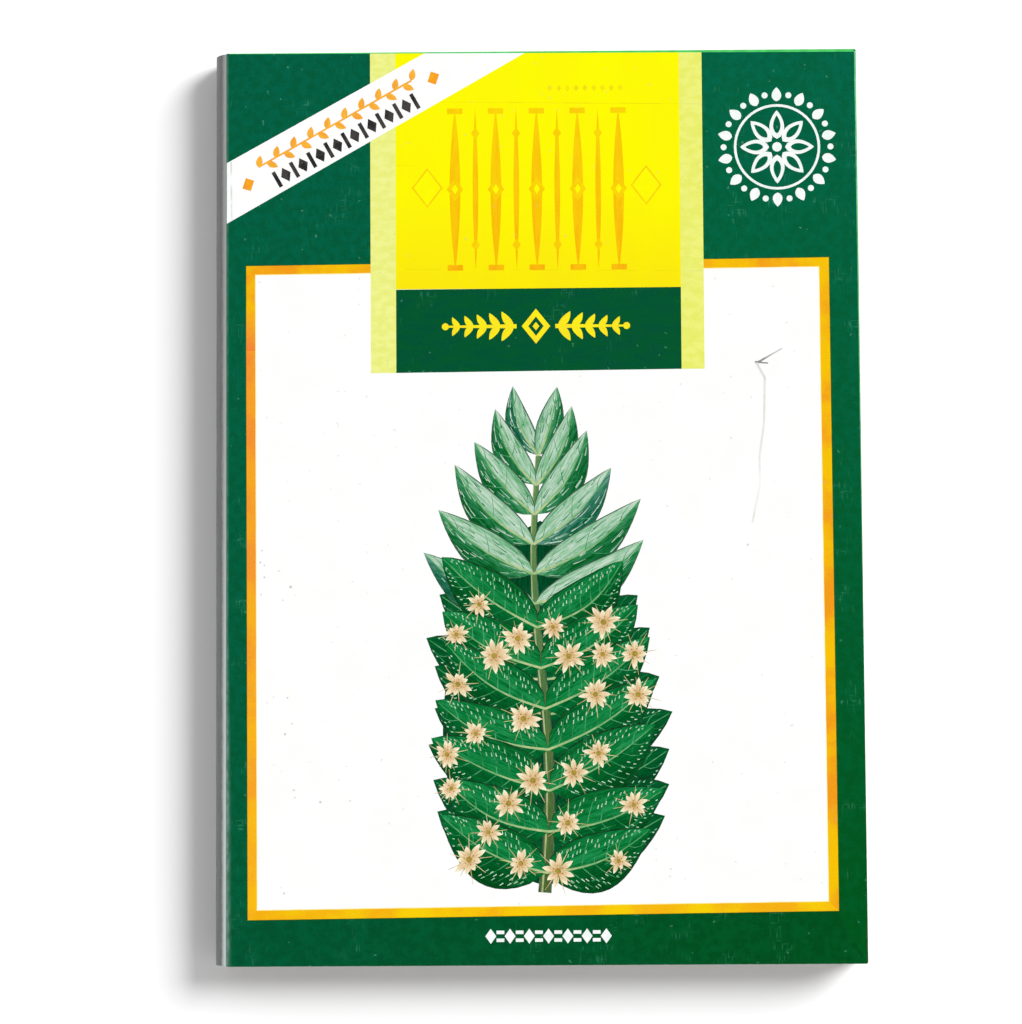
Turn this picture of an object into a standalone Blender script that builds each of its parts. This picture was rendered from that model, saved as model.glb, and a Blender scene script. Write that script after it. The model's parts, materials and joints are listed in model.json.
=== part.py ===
"""A paperback booklet, shut and lying on its back cover.

+X runs from the spine to the fore edge, +Y from the tail to the head, and +Z up through the leaves.
The origin is on the table under the middle of the booklet. Two card covers hold six folded sections
of leaves, and a rounded strip of grey card backs them. The booklet opens in three places: at the
front cover, in the middle, where the spine folds between its two halves, and at the back cover.
Sizes are in metres.
"""

import math

import bmesh
import bpy

# The shut booklet
COVER_WIDTH = 0.1110
COVER_HEIGHT = 0.1600
THICKNESS = 0.0070
SPINE_BULGE = 0.0022

# Card, folded sections and the clearances between them
COVER_CARD = 0.0003
SPINE_CARD = 0.0005
SECTIONS_PER_HALF = 3
SECTION_GAP = 0.00025
PIECE_GAP = 0.0003
LEAF_INSET = 0.00015
SPINE_INSET = 0.0001
FOLD_DEPTH = 0.00035

# How far each joint's axis stands off the surface that it folds along
FRONT_HINGE_RISE = 0.0004
BACK_HINGE_DROP = 0.0001
MIDDLE_HINGE_STANDOFF = 0.00015

# Steps along round outlines
SPINE_STEPS = 20
FOLD_STEPS = 10
WELD_DISTANCE = 0.000001

# Colours of the sub-parts: base colour, roughness
COVER_GREEN = ((0.003, 0.100, 0.045, 1.0), 0.45)
SPINE_GREY = ((0.170, 0.170, 0.170, 1.0), 0.65)
PAPER_WHITE = ((0.800, 0.780, 0.710, 1.0), 0.90)

# Places that follow from the sizes above
FORE_EDGE_X = (COVER_WIDTH + SPINE_BULGE) / 2
HINGE_X = FORE_EDGE_X - COVER_WIDTH
SPINE_X = HINGE_X - SPINE_BULGE
MIDDLE_Z = THICKNESS / 2
SPINE_RADIUS = (MIDDLE_Z**2 + SPINE_BULGE**2) / (2 * SPINE_BULGE)
SPINE_CENTRE_X = SPINE_X + SPINE_RADIUS

COLLECTION = "paperback_booklet"


def clear_scene():
    """Removes every object, and leaves one collection for the parts."""
    for obj in list(bpy.data.objects):
        bpy.data.objects.remove(obj, do_unlink=True)
    if COLLECTION not in bpy.data.collections:
        bpy.context.scene.collection.children.link(bpy.data.collections.new(COLLECTION))


def material(name, finish):
    """A Principled material with one colour and roughness."""
    colour, roughness = finish
    made = bpy.data.materials.new(name)
    made.use_nodes = True
    shader = made.node_tree.nodes["Principled BSDF"]
    shader.inputs["Base Color"].default_value = colour
    shader.inputs["Roughness"].default_value = roughness
    shader.inputs["Metallic"].default_value = 0.0
    return made


def axis_empty(name, location, parent=None):
    """An empty on a joint's axis, which carries the pieces that turn with it."""
    empty = bpy.data.objects.new(name, None)
    empty.empty_display_size = COVER_HEIGHT / 4
    bpy.data.collections[COLLECTION].objects.link(empty)
    origin = parent["at"] if parent else (0.0, 0.0, 0.0)
    empty.parent = parent
    empty.location = [a - b for a, b in zip(location, origin)]
    empty["at"] = location
    return empty


def place(obj, location, carrier, finish):
    """Puts a piece at a world location under its carrier, with a material of its own."""
    bpy.data.collections[COLLECTION].objects.link(obj)
    origin = carrier["at"] if carrier else (0.0, 0.0, 0.0)
    obj.parent = carrier
    obj.location = [a - b for a, b in zip(location, origin)]
    obj.data.materials.append(material(obj.name, finish))
    return obj


def prism(name, outline, length):
    """A closed flat outline in X and Z, given a length along Y."""
    curve = bpy.data.curves.new(name, "CURVE")
    curve.dimensions = "2D"
    curve.fill_mode = "BOTH"
    curve.extrude = length / 2
    spline = curve.splines.new("POLY")
    spline.points.add(len(outline) - 1)
    for point, (across, up) in zip(spline.points, outline):
        point.co = (across, up, 0.0, 1.0)
    spline.use_cyclic_u = True
    source = bpy.data.objects.new(name + "_outline", curve)
    bpy.context.scene.collection.objects.link(source)
    bpy.context.view_layer.update()
    evaluated = source.evaluated_get(bpy.context.evaluated_depsgraph_get())
    mesh = bpy.data.meshes.new_from_object(evaluated)
    mesh.name = name
    bpy.data.objects.remove(source, do_unlink=True)
    close_prism(mesh)
    return bpy.data.objects.new(name, mesh)


def close_prism(mesh):
    """Welds a prism's caps to its sides, and stands its outline's plane up."""
    bm = bmesh.new()
    bm.from_mesh(mesh)
    bmesh.ops.remove_doubles(bm, verts=bm.verts, dist=WELD_DISTANCE)
    for vertex in bm.verts:
        across, up, along = vertex.co
        vertex.co = (across, -along, up)
    bmesh.ops.recalc_face_normals(bm, faces=bm.faces)
    bm.to_mesh(mesh)
    bm.free()


def cover(name, height, carrier):
    """A flat card cover whose spine edge keeps half a gap to the spine strip."""
    spine_edge = HINGE_X + PIECE_GAP / 2
    mesh = bpy.data.meshes.new(name)
    bm = bmesh.new()
    bmesh.ops.create_cube(bm, size=1.0)
    bmesh.ops.scale(bm, vec=(FORE_EDGE_X - spine_edge, COVER_HEIGHT, COVER_CARD), verts=bm.verts)
    bm.to_mesh(mesh)
    bm.free()
    middle = ((spine_edge + FORE_EDGE_X) / 2, 0.0, height + COVER_CARD / 2)
    return place(bpy.data.objects.new(name, mesh), middle, carrier, COVER_GREEN)


def arc_x(radius, height):
    """Where an arc about the spine's centre line lies at a height above the table."""
    return SPINE_CENTRE_X - math.sqrt(radius**2 - (height - MIDDLE_Z) ** 2)


def arc_points(radius, start, end):
    """Points along an arc about the spine's centre line, from one angle to another."""
    angles = [start + (end - start) * i / SPINE_STEPS for i in range(SPINE_STEPS + 1)]
    return [
        (SPINE_CENTRE_X + radius * math.cos(a), MIDDLE_Z + radius * math.sin(a)) for a in angles
    ]


def spine_outline(side):
    """One half of the curved spine strip, above (side 1) or below (side -1) the booklet's middle."""
    ends = []
    for radius in (SPINE_RADIUS, SPINE_RADIUS - SPINE_CARD):
        beside_cover = math.acos((HINGE_X - PIECE_GAP / 2 - SPINE_CENTRE_X) / radius)
        beside_middle = math.pi - math.asin(PIECE_GAP / 2 / radius)
        ends.append((radius, beside_middle, beside_cover))
    outer, inner = (arc_points(*end) for end in ends)
    outline = outer + inner[::-1]
    return [(x, MIDDLE_Z + side * (z - MIDDLE_Z)) for x, z in outline]


def spine_half(name, side, carrier):
    """Half of the rounded grey strip that backs the sections."""
    strip = prism(name, spine_outline(side), COVER_HEIGHT - 2 * SPINE_INSET)
    strip.data.shade_smooth()
    strip.data.set_sharp_from_angle(angle=math.radians(30))
    return place(strip, (0.0, 0.0, 0.0), carrier, SPINE_GREY)


def section_outline(low, high):
    """A folded section: flat top and bottom, a trimmed fore edge and a rounded fold at the spine."""
    back_radius = SPINE_RADIUS - SPINE_CARD - PIECE_GAP
    middle, half = (low + high) / 2, (high - low) / 2
    fold = []
    for i in range(FOLD_STEPS + 1):
        turn = math.pi * i / FOLD_STEPS
        height = middle - half * math.cos(turn)
        fold.append((arc_x(back_radius, height) + FOLD_DEPTH * (1 - math.sin(turn)), height))
    fore = FORE_EDGE_X - LEAF_INSET
    return fold + [(fore, high), (fore, low)]


def section(name, low, high, carrier):
    """One folded section of leaves, between two heights above the table."""
    length = COVER_HEIGHT - 2 * LEAF_INSET
    block = prism(name, section_outline(low, high), length)
    return place(block, (0.0, 0.0, 0.0), carrier, PAPER_WHITE)


def half_of_sections(first, low, high, carrier):
    """The sections of one half, numbered from the front cover down."""
    thick = (high - low - (SECTIONS_PER_HALF - 1) * SECTION_GAP) / SECTIONS_PER_HALF
    for i in range(SECTIONS_PER_HALF):
        top = high - i * (thick + SECTION_GAP)
        section(f"section_{first + i}", top - thick, top, carrier)


def build():
    """Makes the booklet: the two halves, each with its cover turning from it."""
    clear_scene()
    middle_axis = axis_empty("middle_fold", (SPINE_X - MIDDLE_HINGE_STANDOFF, 0.0, MIDDLE_Z))
    front_axis = axis_empty(
        "front_cover_fold", (HINGE_X, 0.0, THICKNESS + FRONT_HINGE_RISE), middle_axis
    )
    back_axis = axis_empty("back_cover_fold", (HINGE_X, 0.0, -BACK_HINGE_DROP))

    spine_half("spine_front", 1, middle_axis)
    spine_half("spine_back", -1, None)

    leaf_low = COVER_CARD + PIECE_GAP
    leaf_high = THICKNESS - COVER_CARD - PIECE_GAP
    half_of_sections(1, MIDDLE_Z + PIECE_GAP / 2, leaf_high, middle_axis)
    half_of_sections(1 + SECTIONS_PER_HALF, leaf_low, MIDDLE_Z - PIECE_GAP / 2, None)

    cover("front_cover", THICKNESS - COVER_CARD, front_axis)
    cover("back_cover", 0.0, back_axis)


build()
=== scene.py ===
"""The looks of a paperback booklet that lies shut on its back cover.

+X runs from the spine to the fore edge, +Y from the tail to the head and +Z up through the leaves.
Lengths are in metres. A sheet's print is laid out in millimetres of its page: u runs from the fold at
the spine to the fore edge, and v from the head down to the tail.
"""

import json
import logging
import math
from dataclasses import asdict, dataclass, field, replace
from enum import Enum
from functools import cached_property
from typing import Any, Mapping, Sequence

import bpy
import numpy as np
from bpy.types import Material, Mesh, NodeSocket, NodeTree, Object
from mathutils import Euler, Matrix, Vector
from mathutils.geometry import delaunay_2d_cdt


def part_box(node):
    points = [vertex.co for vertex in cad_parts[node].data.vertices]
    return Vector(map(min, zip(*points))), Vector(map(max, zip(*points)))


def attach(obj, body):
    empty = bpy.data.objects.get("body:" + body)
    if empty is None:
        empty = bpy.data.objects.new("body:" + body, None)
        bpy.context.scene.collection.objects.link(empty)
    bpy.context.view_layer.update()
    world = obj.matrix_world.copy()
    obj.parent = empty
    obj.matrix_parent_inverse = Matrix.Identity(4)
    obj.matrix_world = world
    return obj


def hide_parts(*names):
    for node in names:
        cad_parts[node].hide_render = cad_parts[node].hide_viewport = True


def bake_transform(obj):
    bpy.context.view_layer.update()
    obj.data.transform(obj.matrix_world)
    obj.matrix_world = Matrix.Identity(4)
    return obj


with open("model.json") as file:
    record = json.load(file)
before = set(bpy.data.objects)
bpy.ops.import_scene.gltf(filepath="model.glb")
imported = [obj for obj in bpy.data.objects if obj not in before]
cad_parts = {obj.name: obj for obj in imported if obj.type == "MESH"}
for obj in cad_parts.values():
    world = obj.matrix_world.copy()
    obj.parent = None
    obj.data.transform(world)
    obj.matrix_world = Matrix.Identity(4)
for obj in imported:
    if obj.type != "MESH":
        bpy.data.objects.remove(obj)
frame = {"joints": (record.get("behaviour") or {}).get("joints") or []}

LOG = logging.getLogger("booklet")
MM = 0.001
SHARP_EDGE = math.radians(30)
WHITE_CARD = 0.785          # the light that white card gives back
TOOTH_HEIGHT = 0.02 * MM    # the relief of card and paper
SAME_SPOT = 1e-5            # how near two spots of the print are taken as one, in millimetres
ON_LINE = 1e-4              # how near a spot is taken to lie on a line, in millimetres
TYPE_PITCH = 4.13           # from one row of reading type to the next, in millimetres
NUMBER, VECTOR, COLOUR = "NodeSocketFloat", "NodeSocketVector", "NodeSocketColor"

Array = np.ndarray
Colour = tuple[float, float, float]
Triple = tuple[float, float, float]
Spot = Pair = tuple[float, float]


# ---------------------------------------------------------------- where things are


@dataclass(frozen=True)
class Booklet:
    """The booklet's main planes and edges, read from the frame."""

    fold_x: float  # where the covers fold from the spine
    fore_x: float  # the covers' fore edge
    spine_x: float  # the spine's outermost line
    tail_y: float  # the covers' tail edge
    head_y: float  # the covers' head edge
    top_z: float  # the front cover's printed face
    card: float  # a cover's thickness
    spine_tail_y: float  # the spine strip's tail end
    spine_head_y: float  # the spine strip's head end

    @classmethod
    def from_frame(cls) -> "Booklet":
        """Reads the covers, the spine strip and the front cover's joint."""
        cover_low, cover_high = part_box("front_cover")
        spine_low, spine_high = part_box("spine_front")
        hinge = next(j for j in frame["joints"] if j["name"] == "open_front_cover")
        return cls(
            fold_x=hinge["pos_m"][0],
            fore_x=cover_high.x,
            spine_x=spine_low.x,
            tail_y=cover_low.y,
            head_y=cover_high.y,
            top_z=cover_high.z,
            card=cover_high.z - cover_low.z,
            spine_tail_y=spine_low.y,
            spine_head_y=spine_high.y,
        )

    @property
    def middle_z(self) -> float:
        """Half the booklet's thickness."""
        return self.top_z / 2

    @property
    def width(self) -> float:
        """A cover's width from its fold, in millimetres."""
        return (self.fore_x - self.fold_x) / MM

    @property
    def height(self) -> float:
        """A cover's height, in millimetres."""
        return (self.head_y - self.tail_y) / MM

    @property
    def spine_radius(self) -> float:
        """The radius of the arc through both folds and the spine's outermost line."""
        bulge = self.fold_x - self.spine_x
        return (self.middle_z**2 + bulge**2) / (2 * bulge)

    @property
    def spine_centre_x(self) -> float:
        """Where the spine's arc has its centre line."""
        return self.spine_x + self.spine_radius

    def page(self, points: Array) -> Array:
        """A sheet's own coordinates of points in space.

        Args:
            points: Places whose last axis holds x, y and z.

        Returns:
            u and v in millimetres, and 0 for the third.
        """
        u = (points[..., 0] - self.fold_x) / MM
        v = (self.head_y - points[..., 1]) / MM
        return np.stack([u, v, np.zeros_like(u)], axis=-1)


# ---------------------------------------------------------------- meshes


def closed_sheet(outer: Array, inner: Array) -> tuple[Array, Array]:
    """Joins two grids of points, a thickness apart, into one closed surface.

    Each grid's cells become quads, the inner grid's turned over, and four rims of quads join the two
    grids' edges.

    Args:
        outer: Points of shape (rows, columns, 3), which face out by the right-hand rule.
        inner: As many points, a thickness behind them.

    Returns:
        The vertices, and the faces as rows of four indices.
    """
    rows, columns = outer.shape[:2]
    out = np.arange(rows * columns).reshape(rows, columns)
    back = out + rows * columns

    def quads(a: Array, b: Array, c: Array, d: Array) -> Array:
        """Rows of four indices from four arrays of corners."""
        return np.stack([a.ravel(), b.ravel(), c.ravel(), d.ravel()], axis=1)

    faces = [
        quads(out[:-1, :-1], out[1:, :-1], out[1:, 1:], out[:-1, 1:]),
        quads(back[:-1, :-1], back[:-1, 1:], back[1:, 1:], back[1:, :-1]),
        quads(out[1:, 0], out[:-1, 0], back[:-1, 0], back[1:, 0]),
        quads(out[:-1, -1], out[1:, -1], back[1:, -1], back[:-1, -1]),
        quads(out[0, :-1], out[0, 1:], back[0, 1:], back[0, :-1]),
        quads(out[-1, 1:], out[-1, :-1], back[-1, :-1], back[-1, 1:]),
    ]
    vertices = np.concatenate([outer.reshape(-1, 3), inner.reshape(-1, 3)])
    return vertices, outward(vertices, np.concatenate(faces))


def outward(vertices: Array, faces: Array) -> Array:
    """Turns all faces over where the volume that they enclose comes out negative.

    The volume is the sum, over triangles fanned from each face's first corner, of the triple product
    of the corners, divided by six.

    Args:
        vertices: The points.
        faces: Rows of indices.

    Returns:
        The faces, pointing outwards.
    """
    first = vertices[faces[:, 0]]
    volume = sum(
        np.einsum("ij,ij->", first, np.cross(vertices[faces[:, k]], vertices[faces[:, k + 1]]))
        for k in range(1, faces.shape[1] - 1)
    )
    return faces if volume > 0 else faces[:, ::-1]


@dataclass
class Surface:
    """Closed bodies that are gathered into one piece."""

    vertices: list[Array] = field(default_factory=list)  # the points of each body
    # The faces of each body, numbered from that body's first point
    faces: list[Array] = field(default_factory=list)
    # What each point is on its sheet: u, v and which side
    places: list[Array] = field(default_factory=list)

    def add_sheet(self, grids: Sequence[Array], places: Sequence[Array]) -> "Surface":
        """Adds a closed sheet.

        Args:
            grids: The outer and the inner grid of points.
            places: The sheet coordinates of both.

        Returns:
            The surface itself.
        """
        vertices, faces = closed_sheet(*grids)
        self.vertices.append(vertices)
        self.faces.append(faces)
        self.places.extend(place.reshape(-1, 3) for place in places)
        return self

    def piece(self, name: str, finish: Material) -> Object:
        """Makes the gathered bodies an object.

        Args:
            name: The piece's name.
            finish: Its material.

        Returns:
            The new object, at the origin.
        """
        starts = np.cumsum([0] + [len(v) for v in self.vertices[:-1]])
        faces = np.concatenate([f + start for f, start in zip(self.faces, starts)])
        made = new_object(name, np.concatenate(self.vertices), faces.tolist(), finish)
        write_vectors(made.data, "Place", "POINT", np.concatenate(self.places))
        made.data.shade_smooth()
        made.data.set_sharp_from_angle(angle=SHARP_EDGE)
        return made


def new_object(name: str, vertices: Array, faces: list, finish: Any) -> Object:
    """A mesh object in the scene, at the origin.

    Args:
        name: The name of the object and its mesh.
        vertices: Points in space.
        faces: Lists of indices.
        finish: The material.

    Returns:
        The object.
    """
    mesh = bpy.data.meshes.new(name)
    mesh.from_pydata(vertices.tolist(), [], faces)
    mesh.materials.append(finish)
    made = bpy.data.objects.new(name, mesh)
    bpy.context.scene.collection.objects.link(made)
    return made


def write_vectors(mesh: Mesh, name: str, domain: str, values: Array) -> None:
    """Stores a row of three numbers at each POINT or each face's CORNER."""
    made = mesh.attributes.new(name, "FLOAT_VECTOR", domain)
    made.data.foreach_set("vector", np.ascontiguousarray(values, np.float32).ravel())


def write_colours(mesh: Mesh, name: str, values: Array) -> None:
    """Stores a scene-linear colour at each face corner, with an alpha of 1."""
    made = mesh.color_attributes.new(name, "FLOAT_COLOR", "CORNER")
    made.data.foreach_set("color", np.insert(values, 3, 1.0, axis=1).astype(np.float32).ravel())


def corner_points(mesh: Mesh) -> Array:
    """The number of the point at each face corner.

    Args:
        mesh: The mesh to read.

    Returns:
        One index for each corner.
    """
    found = np.zeros(len(mesh.loops), np.int64)
    mesh.loops.foreach_get("vertex_index", found)
    return found


def linear(colour: Array | Sequence[float]) -> Array:
    """Scene-linear light of screen colours from 0 to 255, the whitest being white card's.

    A channel c from 0 to 1 becomes ((c + 0.055) / 1.055) to the power 2.4, or c / 12.92 where dark.
    """
    c = np.clip(np.asarray(colour, float) / 255, 0, 1)
    return WHITE_CARD * np.where(c <= 0.04045, c / 12.92, ((c + 0.055) / 1.055) ** 2.4)


def rgba(colour: Colour, share: float = 1.0) -> tuple[float, ...]:
    """A screen colour as a socket's value, with a share of its light."""
    return (*(float(c) * share for c in linear(colour)), 1.0)


# ---------------------------------------------------------------- node materials


class Graph:
    """A node tree that is being filled in, with short ways to add and join its nodes."""

    def __init__(self, tree: NodeTree) -> None:
        """Starts on a tree."""
        self.tree = tree

    def feed(self, inputs: Any, feeds: Mapping[Any, Any]) -> None:
        """Joins or sets a node's inputs.

        Args:
            inputs: The inputs.
            feeds: Sockets by name or number, each with a value or another node's output.
        """
        for name, value in feeds.items():
            if isinstance(value, NodeSocket):
                self.tree.links.new(value, inputs[name])
            else:
                inputs[name].default_value = value

    def node(self, kind: str, feeds: Mapping[Any, Any] | None = None, **settings: Any) -> Any:
        """Adds a node.

        Args:
            kind: The node's class.
            feeds: What its inputs are joined to or set to.
            **settings: Properties of the node.

        Returns:
            The node.
        """
        made = self.tree.nodes.new(kind)
        for name, value in settings.items():
            setattr(made, name, value)
        self.feed(made.inputs, feeds or {})
        return made

    def use(self, group: NodeTree, **feeds: Any) -> Any:
        """The result of a node group."""
        return self.node("ShaderNodeGroup", feeds, node_tree=group).outputs[0]

    def attribute(self, name: str, output: str = "Vector") -> Any:
        """A mesh attribute."""
        return self.node("ShaderNodeAttribute", attribute_name=name).outputs[output]

    def axes(self, vector: Any) -> Any:
        """The three numbers of a vector, as sockets."""
        return self.node("ShaderNodeSeparateXYZ", {0: vector}).outputs

    def grey(self, colour: Any) -> Any:
        """How light a colour is."""
        return self.node("ShaderNodeRGBToBW", {0: colour}).outputs[0]

    def maths(self, operation: str, *values: Any) -> Any:
        """The result of one sum on up to three numbers."""
        feeds = dict(enumerate(values))
        return self.node("ShaderNodeMath", feeds, operation=operation).outputs[0]

    def vectors(self, operation: str, *values: Any) -> Any:
        """The result of one sum on two vectors."""
        feeds = dict(enumerate(values))
        return self.node("ShaderNodeVectorMath", feeds, operation=operation).outputs[0]

    def product(self, *values: Any) -> Any:
        """All the values multiplied together.

        Args:
            *values: Numbers or sockets.

        Returns:
            The product's socket.
        """
        result = values[0]
        for value in values[1:]:
            result = self.maths("MULTIPLY", result, value)
        return result

    def between(self, value: Any, low: Any, high: Any) -> Any:
        """1 where a value lies between two others, and 0 elsewhere."""
        above = self.maths("GREATER_THAN", value, low)
        return self.product(above, self.maths("LESS_THAN", value, high))

    def nearer(self, value: Any, length: Any) -> Any:
        """How far a value is from 0 or from a length, whichever is nearer."""
        return self.maths("MINIMUM", value, self.maths("SUBTRACT", length, value))

    def to_edge(self, place: Any, width: Any, height: Any) -> Any:
        """How far a place on a sheet is from the nearest of its head, tail and fore edge."""
        u, v, _ = self.axes(place)
        return self.maths("MINIMUM", self.maths("SUBTRACT", width, u), self.nearer(v, height))

    def step(self, value: Any, low: Any, high: Any, start: float = 0.0, end: float = 1.0) -> Any:
        """A soft step.

        Args:
            value: What is measured.
            low: Where the step starts.
            high: Where it ends, above or below low.
            start: The result at low.
            end: The result at high.

        Returns:
            The stepped number's socket.
        """
        feeds = {"Value": value, "From Min": low, "From Max": high, "To Min": start, "To Max": end}
        made = self.node("ShaderNodeMapRange", feeds, interpolation_type="SMOOTHSTEP")
        return made.outputs["Result"]

    def noise(self, vector: Any, scale: Any, detail: float = 3.0, rough: float = 0.5) -> Any:
        """Noise from about 0.25 to 0.75, of so many blotches a unit, with rougher layers of detail."""
        feeds = {"Vector": vector, "Scale": scale, "Detail": detail, "Roughness": rough}
        return self.node("ShaderNodeTexNoise", feeds).outputs[0]

    def paint(self, amount: Any, below: Any, above: Any) -> Any:
        """One colour laid over another."""
        feeds = {0: amount, 6: below, 7: above}
        return self.node("ShaderNodeMix", feeds, data_type="RGBA").outputs[2]

    def relief(self, tooth: NodeTree, place: Any, scale: float, strength: float) -> Any:
        """The normal of card or paper.

        Args:
            tooth: The group that gives its relief.
            place: Where it is read.
            scale: How many fibres a millimetre holds.
            strength: How strongly they show.

        Returns:
            The normal's socket.
        """
        height = self.use(tooth, Place=place, Scale=scale)
        feeds = {"Strength": strength, "Distance": TOOTH_HEIGHT, "Height": height}
        return self.node("ShaderNodeBump", feeds).outputs[0]


class Group(Graph):
    """A node group with one result: a mask, a colour or a height."""

    def __init__(self, name: str, gives: str, kind: str = NUMBER, **takes: str) -> None:
        """Starts a group.

        Args:
            name: The group's name.
            gives: Its result's name.
            kind: Its result's kind of socket.
            **takes: Each input's kind of socket.
        """
        super().__init__(bpy.data.node_groups.new(name, "ShaderNodeTree"))
        for socket, taken in takes.items():
            self.tree.interface.new_socket(socket, in_out="INPUT", socket_type=taken)
        self.tree.interface.new_socket(gives, in_out="OUTPUT", socket_type=kind)
        given = self.node("NodeGroupInput").outputs
        self.given = [given[socket] for socket in takes]

    def close(self, result: Any) -> NodeTree:
        """Joins the group's result to its output."""
        self.node("NodeGroupOutput", {0: result})
        return self.tree


class Effects:
    """The node groups that the materials share, each built where it is first used."""

    @cached_property
    def mottle(self) -> NodeTree:
        """Ink that varies: blotches of a second colour, and a fine unevenness in the deeper inks."""
        kinds = {"Ink": COLOUR, "Vary": COLOUR, "Grain": VECTOR, "Place": VECTOR, "Depth": NUMBER}
        g = Group("ink_mottle", "Colour", COLOUR, **kinds)
        ink, vary, grain, place, depth = g.given
        varied = g.paint(g.step(g.noise(grain, 1.0, 4.0, 0.55), 0.38, 0.62), ink, vary)
        fine = g.maths("SUBTRACT", g.noise(place, 3.2, 2.0, 0.7), 0.5)
        inked = g.product(depth, g.step(g.grey(varied), 0.75, 0.05))
        shade = g.maths("MULTIPLY_ADD", fine, inked, 1.0)
        lit = g.node("ShaderNodeVectorMath", {0: varied, "Scale": shade}, operation="SCALE")
        return g.close(lit.outputs[0])

    @cached_property
    def dust(self) -> NodeTree:
        """Specks: small round cells, of which only a share are kept."""
        g = Group("dust", "Mask", Place=VECTOR, Scale=NUMBER, Share=NUMBER)
        place, scale, share = g.given
        bent = g.node("ShaderNodeTexNoise", {"Vector": place, "Scale": 1.7}).outputs[1]
        feeds = {"Vector": g.vectors("ADD", place, bent), "Scale": scale}
        cells = g.node("ShaderNodeTexVoronoi", feeds, voronoi_dimensions="2D").outputs
        chance = g.node("ShaderNodeSeparateColor", {0: cells["Color"]}).outputs[0]
        spot = g.step(cells["Distance"], 0.17, 0.05)
        return g.close(g.product(g.maths("LESS_THAN", chance, share), spot))

    @cached_property
    def rubs(self) -> NodeTree:
        """Short soft scratches, gathered in patches and drawn out along one direction."""
        g = Group("rubs", "Mask", Place=VECTOR, Stretch=VECTOR, Patch=NUMBER)
        place, stretch, patch = g.given
        hair = g.step(g.noise(g.vectors("MULTIPLY", place, stretch), 1.0, 0.0), 0.58, 0.80)
        return g.close(g.product(hair, g.step(g.noise(place, 0.16, 2.0), patch, 0.72)))

    @cached_property
    def edge_wear(self) -> NodeTree:
        """Wear along a sheet's free edges: the distance to the nearest, roughened by noise."""
        g = Group("edge_wear", "Mask", Place=VECTOR, Width=NUMBER, Height=NUMBER, Reach=NUMBER)
        place, width, height, reach = g.given
        ragged = g.product(reach, g.step(g.noise(place, 0.9, 4.0, 0.65), 0.42, 0.72))
        return g.close(g.step(g.to_edge(place, width, height), ragged, 0.0))

    @cached_property
    def tooth(self) -> NodeTree:
        """The relief of card or paper: fine fibres over slow waves."""
        g = Group("tooth", "Height", Place=VECTOR, Scale=NUMBER)
        place, scale = g.given
        wave = g.noise(place, 0.06, 1.0)
        return g.close(g.maths("MULTIPLY_ADD", wave, 0.5, g.noise(place, scale, 3.0, 0.7)))

    @cached_property
    def type_rows(self) -> NodeTree:
        """Rows of grey dashes that stand for type: rows, broken into words and then into strokes."""
        sizes = dict.fromkeys(("Width", "Margin", "First", "Last", "Pitch"), NUMBER)
        g = Group("type_rows", "Mask", Place=VECTOR, **sizes)
        place, width, margin, first, last, pitch = g.given
        u, v, _ = g.axes(place)
        rows = g.maths("DIVIDE", g.maths("SUBTRACT", v, first), pitch)
        row, within = g.maths("FLOOR", rows), g.maths("FRACT", rows)
        band = g.product(g.step(within, 0.28, 0.34), g.step(within, 0.66, 0.60))
        chance = g.node("ShaderNodeTexWhiteNoise", {1: row}, noise_dimensions="1D").outputs[0]
        short = g.product(g.maths("GREATER_THAN", chance, 0.80), 0.55)
        right = g.maths("SUBTRACT", width, margin)
        line_end = g.product(right, g.maths("SUBTRACT", 1.0, short))
        area = g.product(g.between(v, first, last), g.between(u, margin, line_end))
        set_width = g.product(u, g.maths("DIVIDE", TYPE_PITCH, pitch))
        spot = g.node("ShaderNodeCombineXYZ", {0: set_width, 1: g.product(row, 9.7)}).outputs[0]
        words = g.step(g.noise(spot, 0.28, 1.0), 0.40, 0.43)
        strokes = g.step(g.noise(spot, 2.6, 1.0), 0.40, 0.52)
        uneven = g.step(g.noise(place, 2.6, 1.0), 0.36, 0.54, 0.15, 1.0)
        return g.close(g.product(band, area, words, strokes, uneven))


def start_material(name: str) -> tuple[Material, Graph, Any]:
    """A new material with its Principled shader.

    Args:
        name: The material's name.

    Returns:
        The material, its graph and its shader's inputs.
    """
    made = bpy.data.materials.new(name)
    made.use_nodes = True
    graph = Graph(made.node_tree)
    return made, graph, made.node_tree.nodes["Principled BSDF"].inputs


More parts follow.
